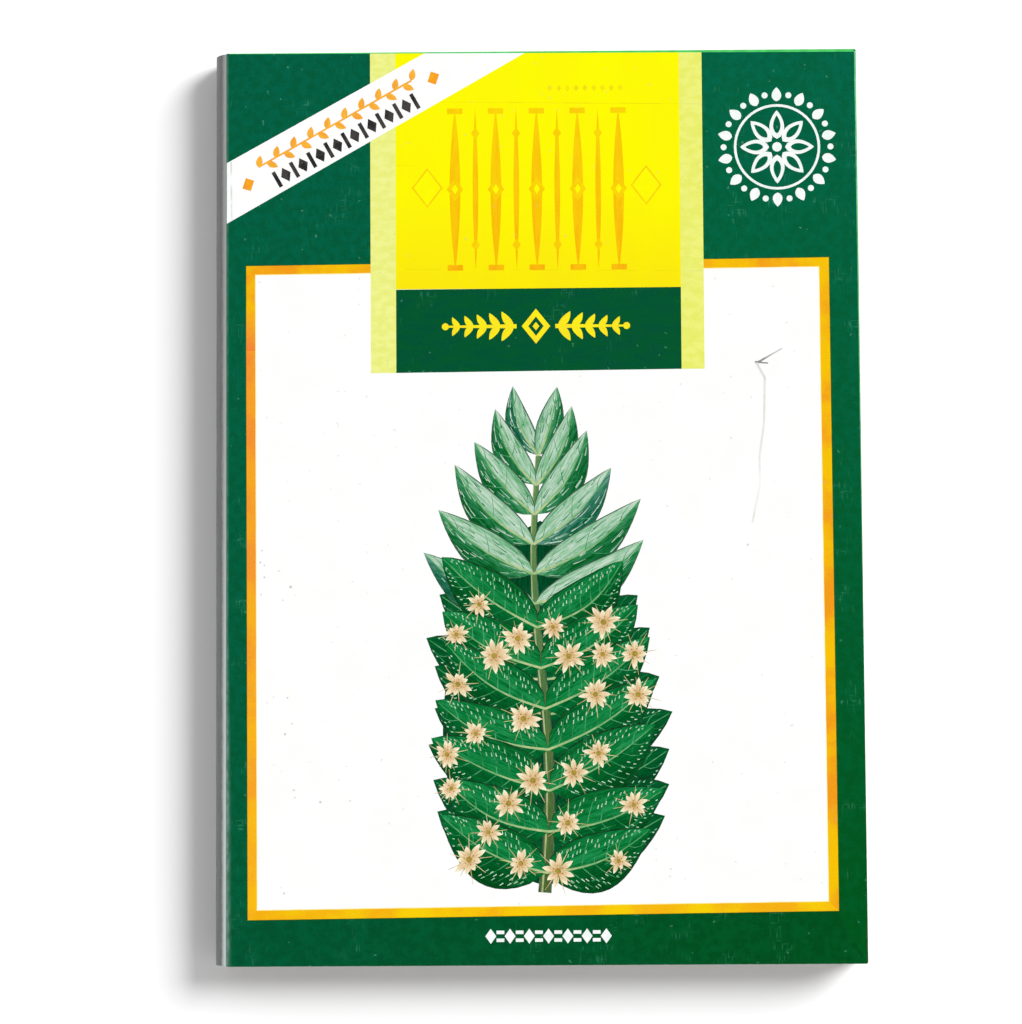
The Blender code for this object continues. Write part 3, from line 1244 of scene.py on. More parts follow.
    def _draw_flower(self, centre: Spot) -> None:
        """Draws a starry flower: narrow petals round a yellow heart, with whiskers between them.

        Args:
            centre: Its heart.
        """
        radius = self.rng.uniform(2.2, 3.1)
        count = int(self.rng.integers(8, 12))
        turn = self.rng.uniform(0, 360)
        for i in range(count):
            angle = turn + 360 * (i + 0.5) / count + self.rng.uniform(-9, 9)
            end = towards(centre, angle, radius * self.rng.uniform(1.0, 1.5))
            self.sheet.draw_line(np.linspace(centre, end, 3), 0.22, 0.07, Inks.WHISKER)
        for i in range(count):
            angle = turn + 360 * i / count + self.rng.uniform(-8, 8)
            reach = radius * self.rng.uniform(0.7, 1.12)
            base, tip = towards(centre, angle, 0.1 * radius), towards(centre, angle, reach)
            petal = LeafForm(base, tip, width=0.34 * radius, fullness=1.0, blunt=0.9)
            self.sheet.draw_leaf(petal, Inks.PETAL, Shade.ALONG, steps=7, grain=(0.8, 5.0))
        size = 0.17 * radius
        heart = {"shade": Shade.ROUND, "root": centre, "length": size, "grain": (2.0, 2.0)}
        self.sheet.draw(disc(centre, size, 9), Inks.HEART, **heart)
        for i in range(6):
            self.sheet.draw(disc(towards(centre, turn + 60 * i, 0.3 * radius), 0.12, 5), Inks.ANTHER)


@dataclass
class CoverPrint:
    """The front cover's print."""

    sheet: Sheet  # what it is printed on
    # The orange frame's outer corners, clockwise from the one by head and fold
    frame_outer: tuple[Spot, ...] = ((3.43, 37.84), (105.77, 37.00), (106.05, 150.89), (3.69, 151.99))
    # Its inner corners
    frame_inner: tuple[Spot, ...] = ((4.98, 39.36), (104.09, 38.58), (104.36, 149.30), (5.26, 150.36))
    # The yellow block's left and right edges and its foot
    yellow: Triple = (29.77, 79.77, 42.15)
    # The outer edges of the pale bands beside it, and their feet
    bands: tuple[Spot, Spot] = ((25.3, 56.9), (83.8, 56.5))
    # Soft grey specks near the panel's fold side, each a centre and a radius
    specks: tuple[Triple, ...] = (
        (5.9, 90.0, 0.19), (6.6, 90.5, 0.16), (6.2, 87.9, 0.15), (6.6, 92.6, 0.18),
        (9.1, 91.5, 0.15), (11.2, 94.3, 0.27), (6.0, 95.6, 0.15), (9.8, 96.6, 0.13),
        (10.2, 119.9, 0.22), (11.4, 118.1, 0.15), (11.7, 129.6, 0.21), (11.9, 130.9, 0.16),
        (16.3, 131.7, 0.24), (21.5, 131.5, 0.15), (10.0, 147.4, 0.2), (10.6, 113.6, 0.17),
    )
    corner: float = 0.35  # how round the sheet's fore corners are

    def draw(self) -> None:
        """Draws the whole print, the ground first."""
        self._draw_ground()
        self._draw_panel()
        self._draw_blocks()
        self._draw_tall_row()
        self._draw_ribbon()
        self._draw_title_ornament()
        self._draw_rosette((96.93, 17.35), 10.6)
        self._draw_foot_row()
        Sprig(self.sheet).draw()
        self._draw_marks()
        self._draw_cut_edges()

    def _draw_ground(self) -> None:
        """Draws the green ground over the whole sheet, with its fore corners a little rounded."""
        w, h, radius, grain = self.sheet.width, self.sheet.height, self.corner, (0.7, 0.7)
        turn = np.linspace(0, np.pi / 2, 5)
        rounded = np.stack([np.sin(turn), np.cos(turn)], axis=1) * radius
        head = np.array([w - radius, radius]) + rounded * (1, -1)
        tail = np.array([w - radius, h - radius]) + rounded[::-1]
        fore, low, band = self.frame_outer[1][0] - 0.5, self.frame_outer[2][1], self.bands[1][0]
        whole = np.concatenate([[(0.0, 0.0)], head, tail, [(0.0, h)]])
        inner = [(fore, low), (fore, 38.0), (band, 38.0)]
        beside = np.concatenate([[(band, 0.0)], head, tail, inner])
        foot = [(0.0, low), (fore + 0.5, low), (w - 0.3, h - 0.5), (w - radius, h), (0.0, h)]
        self.sheet.draw_along(whole, Inks.GREEN, (0.0, 0.0), (0.0, low), grain=grain)
        self.sheet.draw_along(beside, Inks.GREEN_FORE, (0.0, 0.0), (0.0, low), grain=grain)
        self.sheet.draw_along(foot, Inks.GREEN_FOOT, (0.0, 0.0), (w, 0.0), grain=grain)

    def _draw_panel(self) -> None:
        """Draws the orange frame, a little out of register, and the white panel in it."""
        sheet = self.sheet
        sheet.draw(grown(self.frame_outer, 0.09), Inks.OLIVE, grain=(0.4, 0.4))
        sheet.draw(self.frame_outer, Inks.FRAME, grain=(0.1, 0.1))
        (left, top), (inner, _) = self.frame_outer[0], self.frame_inner[0]
        turn, end = (left, top + 7.0), (left, top + 15.0)
        for start, low_outer, low_inner, ink in (
            (turn, end, (inner, end[1]), Inks.FRAME_TURN),
            (end, self.frame_outer[3], self.frame_inner[3], Inks.FRAME_SIDE),
        ):
            side = [start, low_outer, low_inner, (inner, start[1])]
            low = (start[0], low_outer[1])
            sheet.draw_along(side, ink, start, low, grain=(0.12, 0.12))
        foot = [*self.frame_outer[2:], self.frame_inner[3], self.frame_inner[2]]
        sheet.draw(foot, Inks.FRAME_FOOT, grain=(0.1, 0.1))
        sheet.draw(self.frame_inner, Inks.FRAME_HALO, grain=(0.3, 0.3))
        sheet.draw(grown(self.frame_inner, -0.15), Inks.WHITE, grain=(0.15, 0.15))

    def _draw_blocks(self) -> None:
        """Draws the pale bands, the yellow block between them and the dark box at its foot."""
        sheet, turn = self.sheet, 26.0
        left, right, foot = self.yellow
        (band_left, low_left), (band_right, low_right) = self.bands
        fore, start = (sheet.width, 0.0), (0.0, 0.0)
        for near, far, top, low, ink, root, end, grain in (
            (band_left, left, 0.0, low_left, Inks.PALE, start, fore, (0.5, 0.9)),
            (right, band_right, 0.0, low_right, Inks.PALE, start, fore, (0.5, 0.9)),
            (left, right, 0.0, turn, Inks.YELLOW, (left, 0.0), (left, turn), (0.05, 0.12)),
            (left, right, turn, foot, Inks.YELLOW_LOW, (left, turn), (left, foot), (0.05, 0.12)),
        ):
            block = [(near, top), (far, top), (far, low), (near, low)]
            sheet.draw_along(block, ink, root, end, grain=grain)
        box = [(left, foot + 0.05), (right, foot - 0.1), (right, low_right), (left, low_left)]
        sheet.draw(box, Inks.BOX_GREEN, grain=(0.25, 0.6))
        edges = ((band_left, left), (left, right), (right, band_right))
        inks = (Inks.SCAN_PALE, Inks.SCAN, Inks.SCAN_PALE)
        for drop, rise in ((8.75, 0.85), (38.5, 0.75)):
            for ends, ink in zip(edges, inks):
                line = [(u, drop + rise * (u - band_left) / (band_right - band_left)) for u in ends]
                sheet.draw_line(line, 0.13, 0.13, ink, grain=(0.3, 0.3))
        sheet.draw_line([(29.9, 20.25), (34.4, 20.15)], 0.12, 0.05, Inks.SCAN)

    def _draw_tall_row(self) -> None:
        """Draws the faint row of tall spindles on the yellow block, a diamond at each end of it."""
        draw, head, foot = self.sheet.draw, 10.1, 38.9
        middle = (head + foot) / 2
        for i in range(9):
            u, wide = 40.2 + 3.6 * i, i % 2 == 0
            spindle = LeafForm((u, head), (u, foot), 1.9 if wide else 1.0, 0.0, 1.0, 0.9)
            self.sheet.draw_leaf(spindle, Inks.FAINT, Shade.ALONG, grain=(0.2, 1.2))
            if wide:
                draw(bar((u, head + 0.5), 2.7, 1.0), Inks.FAINT)
                draw(bar((u, foot - 0.5), 2.7, 1.0), Inks.FAINT_FOOT)
                draw(diamond((u, middle), 2.9, 4.2), Inks.FAINT)
                draw(diamond((u, middle), 1.1, 1.8), Inks.YELLOW)
            else:
                for v in (head + 4.5, foot - 4.5):
                    draw(diamond((u, v), 1.5, 2.2), Inks.FAINT)
        for centre in ((35.32, 24.22), (73.84, 23.94)):
            draw(diamond(centre, 5.5, 7.1), Inks.FAINT_LINE)
            draw(diamond(centre, 4.75, 6.2), Inks.YELLOW)
        for i in range(9):
            draw(diamond((57.0 + 1.55 * i, 6.6), 0.9, 1.25), Inks.GHOST)

    def _draw_ribbon(self) -> None:
        """Draws the white ribbon across the head corner, with painted shade along its crease and two rows
        of ornament on it.
        """
        sheet, slope = self.sheet, -29.4
        sheet.draw([(0.0, 19.55), (0.0, 30.31), (53.1, 0.0), (35.3, 0.0)], Inks.WHITE)
        # A grey line beside the fold: painted shade of the crease
        sheet.draw_line([(0.75, 19.3), (0.85, 29.6)], 0.3, 0.3, Inks.SCUFF, grain=(0.6, 0.5))
        first, last = np.array([5.6, 20.3]), np.array([32.6, 5.05])
        sheet.draw_line(np.linspace(first, last, 5), 0.34, 0.34, Inks.RIBBON_ORANGE)
        for i, share in enumerate(np.linspace(0.0, 1.0, 19)):
            spot = tuple(first + share * (last - first))
            tip = towards(spot, 90 + slope + (52 if i % 2 else -52), 2.1)
            sheet.draw_leaf(LeafForm(spot, tip, 1.15), Inks.RIBBON_ORANGE)
        first, last = np.array([8.9, 22.5]), np.array([33.2, 8.75])
        for i, share in enumerate(np.linspace(0.0, 1.0, 17)):
            spot = tuple(first + share * (last - first))
            motif = diamond(spot, 1.9, 2.8, slope) if i % 2 else bar(spot, 0.7, 3.0, slope)
            sheet.draw(motif, Inks.BLACK)
        for centre in ((3.79, 23.38), (36.46, 4.64)):
            sheet.draw(bar(centre, 1.55, 1.95, 18), Inks.LOZENGE)

    def _draw_title_ornament(self) -> None:
        """Draws a yellow garland in the dark box: a diamond between two leafy rules."""
        sheet, ink, u, v = self.sheet, Inks.ORNAMENT, 54.3, 48.8
        sheet.draw(diamond((u, v), 5.0, 6.2), ink)
        sheet.draw(diamond((u, v), 2.7, 3.4), Inks.BOX_GREEN)
        sheet.draw(diamond((u, v), 1.2, 1.5), ink)
        for side in (-1, 1):
            rule = np.linspace((u + side * 3.4, v), (u + side * 15.3, v), 3)
            sheet.draw_line(rule, 0.75, 0.35, ink)
            for i in range(5):
                base = (u + side * (4.0 + 2.35 * i), v)
                for up in (-1, 1):
                    tip = towards(base, side * (90 - up * 52), 3.3 - 0.3 * i)
                    sheet.draw_leaf(LeafForm(base, tip, 1.35 - 0.1 * i, side * up * 0.2), ink)
            sheet.draw(disc((u + side * 15.9, v), 0.62), ink)

    def _draw_rosette(self, centre: Spot, radius: float) -> None:
        """Draws a white ring of small motifs round a flower drawn in outline.

        Args:
            centre: Its centre.
            radius: How far it reaches.
        """
        sheet, white, count = self.sheet, Inks.KNOCKOUT, 28

        def petal(angle: float, start: float, end: float, width: float, ink: Ink) -> None:
            """Draws a petal between two distances from the centre."""
            form = LeafForm(towards(centre, angle, start), towards(centre, angle, end), width)
            sheet.draw_leaf(form, ink)

        for i in range(count):
            angle = 360 * i / count
            if i % 2:
                sheet.draw(disc(towards(centre, angle, radius - 1.2), 0.55, 10), white)
            else:
                petal(angle, radius - 2.5, radius, 1.7, white)
        sheet.draw(disc(centre, radius - 3.0, 48), white)
        sheet.draw(disc(centre, radius - 3.45, 48), Inks.GREEN_OVER, grain=(0.3, 0.9))
        for i in range(8):
            petal(45 * i, 1.4, 6.5, 2.6, white)
            petal(45 * i, 2.4, 5.6, 1.3, Inks.GREEN_OVER)
        sheet.draw(disc(centre, 0.85, 14), white)

    def _draw_foot_row(self) -> None:
        """Draws the white row at the foot: diamonds and pairs of short bars by turns."""
        for i, u in enumerate(np.linspace(45.8, 65.8, 13)):
            if i % 2:
                for v in (154.3, 155.65):
                    self.sheet.draw(bar((u, v), 1.35, 0.6), Inks.KNOCKOUT)
            else:
                self.sheet.draw(diamond((u, 154.97), 1.9, 2.6), Inks.KNOCKOUT)

    def _draw_marks(self) -> None:
        """Draws a pencil mark near the panel's head, grey specks, and pale rubs."""
        sheet = self.sheet
        shaded = {"shade": Shade.ALONG, "root": (93.0, 55.5), "axis": (0.87, -0.49), "length": 5.4}
        sheet.draw_line([(93.0, 55.5), (97.4, 53.0)], 0.4, 0.16, Inks.PENCIL, **shaded)
        sheet.draw_line([(92.6, 55.35), (94.9, 55.6)], 0.32, 0.26, Inks.PENCIL)
        tail = ribbon_outline(
            [(92.85, 55.5), (94.3, 58.2), (94.07, 66.21), (93.23, 71.92), (93.24, 76.93),
             (92.12, 82.28), (91.84, 83.54)], 0.44, 0.34,
        )
        sheet.draw_along(tail, Inks.FAINT_PENCIL, (92.6, 55.5), (92.6, 64.5), grain=(0.2, 0.6))
        sheet.draw(disc((91.0, 87.4), 0.22, 6), Inks.FAINT_PENCIL)
        for u, v, radius in self.specks:
            sheet.draw(disc((u, v), radius, 7), Inks.SPECK, grain=(3.0, 3.0))
        for u, v, length in ((6.4, 12.4, 0.9), (96.4, 3.8, 0.5), (89.05, 30.5, 0.8), (7.2, 7.0, 0.6)):
            rub = [(u, v - length / 2), (u + 0.1, v + length / 2)]
            sheet.draw_line(rub, 0.3, 0.2, Inks.RUB, grain=(2.0, 2.0))

    def _draw_cut_edges(self) -> None:
        """Draws painted highlights along the head and fore edges, where the card's cut edge catches the
        light, and a rusty nick near the tail corner.
        """
        w, h, low = self.sheet.width, self.sheet.height, self.sheet.height - 30.0
        head = [(0.4, 0.0), (w - 0.35, 0.0), (w - 0.35, 0.5), (0.4, 0.1)]
        fore = [(w - 0.3, 0.35), (w, 0.35), (w, low), (w - 0.06, low)]
        nick = [(w - 0.14, h - 7.0), (w, h - 7.5), (w, h - 0.35), (w - 0.2, h - 0.35)]
        # Painted highlights along the cut head and fore edges
        self.sheet.draw(head, Inks.HEAD_EDGE)
        self.sheet.draw_along(fore, Inks.FORE_EDGE, (0.0, 0.0), (0.0, low))
        self.sheet.draw(nick, Inks.RUST, grain=(1.5, 1.5))


# ---------------------------------------------------------------- the pieces


def divided(spots: Array, edges: Sequence, faces: Sequence) -> tuple:
    """Flat outlines divided into triangles along one another's sides and along loose edges."""
    return delaunay_2d_cdt([Vector(s) for s in spots * (1, -1)], edges, faces, 1, SAME_SPOT, True)


@dataclass
class FrontCover:
    """The front cover: a sheet of card whose upper face is divided into the shapes of its print."""

    booklet: Booklet  # where it lies
    fold_reach: float = 1.3  # how far from the fold a bend would reach, in millimetres
    fold_step: float = 0.1  # how far apart the lines lie that a bend would follow
    card_grain: float = 0.05  # how dense the bare card's blotches are, for each millimetre

    @property
    def fold_lines(self) -> Array:
        """How far from the fold the lines lie that a bend would follow."""
        return np.arange(self.fold_step, self.fold_reach + self.fold_step, self.fold_step)

    def build(self, effects: Effects) -> Object:
        """Builds the piece.

        Args:
            effects: The shared node groups.

        Returns:
            The cover.
        """
        b = self.booklet
        sheet = Sheet(b.width, b.height)
        CoverPrint(sheet).draw()
        spots, triangles, tops = self._divide(sheet)
        rim = self._rim(triangles)
        under = self._cover_rim(spots, rim)
        finish = PrintedCard("front_cover_print").material(effects, b)

        count = len(spots)
        low = np.full(count, -1)
        low[rim] = count + np.arange(len(rim))
        x, y = b.fold_x + spots[:, 0] * MM, b.head_y - spots[:, 1] * MM
        top = np.stack([x, y, np.full(count, b.top_z)], axis=1)
        vertices = np.concatenate([top, top[rim] - (0.0, 0.0, b.card)])
        following = np.roll(rim, -1)
        walls = np.stack([rim, low[rim], low[following], following], axis=1)
        faces = triangles.tolist() + low[under[:, ::-1]].tolist() + walls.tolist()
        made = new_object("front_cover_sheet", vertices, faces, finish)
        self._dress(made, sheet, spots, triangles, tops, rim)
        self._lay_map(made, spots, rim, triangles.size)
        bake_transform(made)
        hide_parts("front_cover")
        return made

    def _divide(self, sheet: Sheet) -> tuple[Array, Array, Array]:
        """Divides the sheet along every outline, and along lines beside the fold.

        Args:
            sheet: The printed sheet.

        Returns:
            Spots as u and v, triangles that face up, and the topmost shape over each triangle.
        """
        outlines = [s.outline for s in sheet.shapes]
        lines = np.array([[(u, 0.0), (u, sheet.height)] for u in self.fold_lines]).reshape(-1, 2)
        starts = np.cumsum([0] + [len(o) for o in outlines])
        faces = [list(range(a, z)) for a, z in zip(starts[:-1], starts[1:])]
        edges = (starts[-1] + np.arange(len(lines)).reshape(-1, 2)).tolist()
        found = divided(np.concatenate(outlines + [lines]), edges, faces)
        tops = np.array([max(over) for over in found[5]])
        return np.array([(s.x, -s.y) for s in found[0]]), np.array(found[2]), tops

    @staticmethod
    def _rim(triangles: Array) -> Array:
        """The points round the outside in order: the edges that belong to one triangle, end to end.

        Args:
            triangles: Rows of three indices.

        Returns:
            Indices of points.
        """
        ends = np.concatenate([triangles[:, [0, 1]], triangles[:, [1, 2]], triangles[:, [2, 0]]])
        size = triangles.max() + 1
        lone = ~np.isin(ends[:, 0] * size + ends[:, 1], ends[:, 1] * size + ends[:, 0])
        following = dict(ends[lone].tolist())
        rim = [next(iter(following))]
        while following[rim[-1]] != rim[0]:
            rim.append(following[rim[-1]])
        return np.array(rim)

    def _cover_rim(self, spots: Array, rim: Array) -> Array:
        """Triangles over the rim alone, divided along the same lines beside the fold.

        Args:
            spots: All spots, as u and v.
            rim: The rim's points.

        Returns:
            Rows of three indices into all spots.
        """
        around = spots[rim]
        pairs = [np.flatnonzero(np.abs(around[:, 0] - u) < ON_LINE) for u in self.fold_lines]
        edges = [(int(pair[0]), int(pair[-1])) for pair in pairs]
        found = divided(around, edges, [list(range(len(rim)))])
        source = np.array([came[0] for came in found[3]])
        return rim[source[np.array(found[2])]]

    def _dress(
        self, made: Any, sheet: Sheet, spots: Array, triangles: Array, tops: Array, rim: Array
    ) -> None:
        """Stores the print on the mesh.

        Args:
            made: The cover.
            sheet: Its print.
            spots: The upper face's points, as u and v.
            triangles: The upper face's triangles.
            tops: The topmost shape over each.
            rim: The rim's points.
        """
        mesh = made.data
        ink, vary, grain = sheet.corner_inks(spots[triangles], tops)
        places = np.pad(np.concatenate([spots, spots[rim]]), ((0, 0), (0, 1)))
        write_vectors(mesh, "Place", "POINT", places)
        bare = corner_points(mesh)[triangles.size:]
        for name, printed, colour in (("Ink", ink, Inks.CARD.near), ("Vary", vary, Inks.CARD.vary)):
            card = np.tile(linear(colour), (len(bare), 1))
            write_colours(mesh, name, np.concatenate([printed.reshape(-1, 3), card]))
        grain = np.concatenate([grain.reshape(-1, 3), places[bare] * self.card_grain])
        write_vectors(mesh, "Grain", "CORNER", grain)

    def _lay_map(self, made: Object, spots: Array, rim: Array, printed: int) -> None:
        """Lays the faces out flat: the printed one large, the inner one small, the edge as a strip.

        Args:
            made: The cover.
            spots: The upper face's points, as u and v.
            rim: The rim's points.
            printed: How many face corners the printed face has.
        """
        margin, large, small = 0.004, 0.992 / self.booklet.height, 0.0026
        aside, strip_length, strip_low, strip_high = 0.70, 0.29, 0.46, 0.47
        flat = np.concatenate([spots, spots[rim]])[corner_points(made.data)]
        flat[:, 1] = self.booklet.height - flat[:, 1]
        around = spots[rim]
        length = np.hypot(*(np.roll(around, -1, axis=0) - around).T)
        end = np.cumsum(length)
        left, right = (aside + strip_length * p / end[-1] for p in (end - length, end))
        low, high = np.full(len(rim), strip_low), np.full(len(rim), strip_high)
        strip = np.stack([left, high, left, low, right, low, right, high], axis=1).reshape(-1, 2)
        outer = margin + flat[:printed] * large
        inner = (aside, margin) + flat[printed:-len(strip)] * small
        layer = made.data.uv_layers.new(name="OFBake")
        layer.data.foreach_set("uv", np.concatenate([outer, inner, strip]).astype(np.float32).ravel())


@dataclass
class BackCover:
    """The back cover: a plain sheet of card, green outside and bare inside."""

    booklet: Booklet  # where it lies
    fold_reach: float = 1.3  # how far from the fold a bend would reach, in millimetres
    # How many lines cross it where a bend would be, beyond that, and from head to tail
    steps: tuple[int, int, int] = (14, 24, 33)
    grain: float = 0.22  # how dense the ink's blotches are, for each millimetre

    def build(self, effects: Effects) -> Object:
        """Builds the piece.

        Args:
            effects: The shared node groups.

        Returns:
            The cover.
        """
        b, (in_bend, beyond, down) = self.booklet, self.steps
        near = np.linspace(0.0, self.fold_reach, in_bend)
        far = np.linspace(self.fold_reach, b.width, beyond)[1:]
        u, v = np.meshgrid(np.concatenate([near, far]), np.linspace(0.0, b.height, down))
        outer = np.stack([b.fold_x + u * MM, b.head_y - v * MM, np.zeros_like(u)], axis=-1)
        inner = outer + (0.0, 0.0, b.card)
        surface = Surface().add_sheet([outer, inner], [b.page(outer), b.page(inner) + (0.0, 0.0, 1.0)])
        made = surface.piece("back_cover_sheet", PrintedCard("back_cover_print").material(effects, b))
        self._dress(made)
        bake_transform(made)
        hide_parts("back_cover")
        return made

    def _dress(self, made: Object) -> None:
        """Stores green on the faces that look down, and bare card on the rest.

        Args:
            made: The cover.
        """
        mesh = made.data
        normals = np.zeros(len(mesh.polygons) * 3, np.float32)
        mesh.polygons.foreach_get("normal", normals)
        printed = np.repeat(normals[2::3] < -0.5, 4)[:, None]
        places = np.zeros(len(mesh.vertices) * 3, np.float32)
        mesh.attributes["Place"].data.foreach_get("vector", places)
        for name, kind in (("Ink", "near"), ("Vary", "vary")):
            green, card = (linear(getattr(ink, kind)) for ink in (Inks.BACK_GREEN, Inks.CARD))
            write_colours(mesh, name, np.where(printed, green, card))
        grain = places.reshape(-1, 3)[corner_points(mesh)] * self.grain
        write_vectors(mesh, "Grain", "CORNER", grain)


@dataclass
class SpineStrip:
    """The rounded strip of grey card that backs the leaves, from one cover's fold to the other's."""

    booklet: Booklet  # where it lies
    thickness: float = 0.28 * MM  # the card's thickness
    fold_half: float = 1.0 * MM  # how far above and below the middle a bend would reach when the booklet opens there
    steps: tuple[int, int] = (61, 65)  # how many lines run along it, and how many cross it

    def build(self, effects: Effects) -> Object:
        """Builds the piece, an arc about the spine's centre line that is carried from tail to head.

        Args:
            effects: The shared node groups.

        Returns:
            The strip.
        """
        b = self.booklet
        start = math.atan2(b.middle_z, b.fold_x - b.spine_centre_x)
        turn = np.linspace(start, 2 * np.pi - start, self.steps[0])
        girth = b.spine_radius * (turn - start) / MM
        y = np.linspace(b.spine_tail_y, b.spine_head_y, self.steps[1])[:, None]
        flat = 0 * turn + 0 * y
        grids, places = [], []
        for side, radius in enumerate((b.spine_radius, b.spine_radius - self.thickness)):
            x = b.spine_centre_x + radius * np.cos(turn)
            z = b.middle_z + radius * np.sin(turn)
            grids.append(np.stack([x + flat, y + flat, z + flat], axis=-1))
            places.append(np.stack([girth + flat, (b.head_y - y) / MM + flat, side + flat], axis=-1))
        finish = SpineCard().material(effects, float(girth[-1]))
        made = Surface().add_sheet(grids, places).piece("spine_strip", finish)
        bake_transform(made)
        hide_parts("spine_front", "spine_back")
        return made


@dataclass
class LeafBlock:
    """The leaves: six sections of four folded sheets, and one more folded sheet in the middle."""

    booklet: Booklet  # where they lie
    sheets: int = 4  # the folded sheets of a section
    sections: int = 3  # the sections of each half
    paper: float = 0.09 * MM  # a leaf's thickness
    spine_room: float = 0.33 * MM  # how far inside the spine's outer face the folds stay
    # How far from the middle its sheet would bend, which is less than its leaves are apart
    bend_half: float = 0.006 * MM
    short: float = 0.0008  # the greatest share of its length by which a sheet is cut short
    trim: float = 0.07 * MM  # the greatest length by which a leaf's fore edge is trimmed back
    # How deep the fore edge's slow waves are, and how long each radian of them
    ripple: Pair = (0.02 * MM, 0.021)
    # How high a leaf's slow waves are at its fore edge, and how long each radian of them
    lift: Pair = (0.010 * MM, 0.017)
    steps: tuple[int, int] = (7, 41)  # how many lines run along each leaf, and how many cross it
    # How many lines run round a section's fold, and round the middle sheet's
    fold_steps: tuple[int, int] = (13, 41)
    gather: float = 2.2  # how closely those of the middle sheet gather at its outermost line
    seed: int = 5  # what the leaves' small irregularities start from

    def __post_init__(self) -> None:
        """Works out the leaves' pitch, and starts the seeded randomness."""
        leaves = 2 * self.sections * 2 * self.sheets + 2
        self.pitch = (self.booklet.top_z - 2 * self.booklet.card) / leaves
        self.rng = np.random.default_rng(self.seed)
        low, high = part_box("section_1")
        self.fore_x, self.tail_y, self.head_y = high.x, low.y, high.y

    def build(self, effects: Effects) -> list[Object]:
        """Builds a piece for each section, and one for the sheet in the middle.

        Args:
            effects: The shared node groups.

        Returns:
            The pieces.
        """
        b = self.booklet
        title = LeafPaper("title_leaf_paper", Page.TITLE).material(effects, b)
        reading = LeafPaper("leaf_paper", Page.READING).material(effects, b)
        made = []
        for side, body in ((1, "front_half"), (-1, "rear_half")):
            for i in range(self.sections):
                place = self.sections - i if side > 0 else self.sections + 1 + i
                away = self.pitch + self.sheets * self.pitch * (2 * i + 1)
                surface = Surface()
                for nest in range(self.sheets):
                    self._fold_sheet(surface, b.middle_z + side * away, nest)
                piece = surface.piece(f"leaves_{place}", title if place == 1 else reading)
                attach(piece, body)
                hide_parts(f"section_{place}")
                made.append(piece)
        made.append(self._build_middle(reading))
        return made

    def _build_middle(self, finish: Material) -> Object:
        """Builds the folded sheet at which the booklet opens.

        Args:
            finish: Its material.

        Returns:
            The piece.
        """
        b = self.booklet
        surface = Surface()
        self._fold_sheet(surface, b.middle_z, 0)
        made = surface.piece("leaves_middle", finish)
        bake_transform(made)
        return made

    def _fold_sheet(self, surface: Surface, middle: float, nest: int) -> None:
        """Adds one folded sheet.

        Its section is a U on its side: a straight leaf from the fore edge, half a circle round the
        section's fold, and a straight leaf back. Nested sheets share the circle's centre. Each leaf's
        fore edge is trimmed back by a little chance and waves slowly from tail to head. The third
        number of a point's place is its height in millimetres, which tells the leaves apart.

        Args:
            surface: What it is added to.
            middle: The section's middle height.
            nest: How many sheets lie inside it.
        """
        b = self.booklet
        lone = middle == b.middle_z
        outermost = (0.5 if lone else self.sheets - 0.5) * self.pitch + self.paper / 2
        centre_x = self._fold_centre(abs(middle - b.middle_z), outermost)
        along, across = self.steps
        straight = np.linspace(1, 0, along)[:-1] ** 1.5
        share = np.linspace(-1, 1, self.fold_steps[lone])
        turn = np.pi / 2 * (1 + np.sign(share) * np.abs(share) ** (self.gather if lone else 1.0))
        fore_share = np.concatenate([straight, 0 * share, straight[::-1]])
        out = np.concatenate([0 * straight, np.sin(turn), 0 * straight])
        up = np.concatenate([0 * straight + 1, np.cos(turn), 0 * straight - 1])

        y = np.linspace(self.tail_y, self.head_y, across)[:, None]
        y = y * (1 - self.rng.uniform(0, self.short))
        phases = self.rng.uniform(0, 2 * np.pi, 4)
        trims = self.rng.uniform(0, self.trim, 2)
        (depth, slow), (height, slower) = self.ripple, self.lift
        upper, lower = (
            self.fore_x - trim - depth * (1 + np.sin(y / slow + phase))
            for trim, phase in zip(trims, phases)
        )
        fore = np.where(up > 0, upper, lower)
        lift = height * np.sin(y / slower + phases[2]) * fore_share**2
        radius = (nest + 0.5) * self.pitch
        grids = []
        for r in (radius + self.paper / 2, radius - self.paper / 2):
            x = centre_x + (fore - centre_x) * fore_share - out * r
            grids.append(np.stack([x, y + 0 * x, middle + up * r + lift], axis=-1))
        surface.add_sheet(grids, [b.page(grid) + grid * (0, 0, 1 / MM) for grid in grids])

    def _fold_centre(self, away: float, outermost: float) -> float:
        """Where a section's folds have their centre, so that they fit inside the spine.

        Args:
            away: How far the section's middle is above or below the booklet's.
            outermost: The radius of its outermost fold.

        Returns:
            The centre's x.
        """
        room = self.booklet.spine_radius - self.spine_room
        at_back = outermost - math.sqrt(room**2 - away**2)
        at_corner = -math.sqrt(room**2 - (away + outermost) ** 2)
        return self.booklet.spine_centre_x + max(at_back, at_corner)


# ---------------------------------------------------------------- the studio


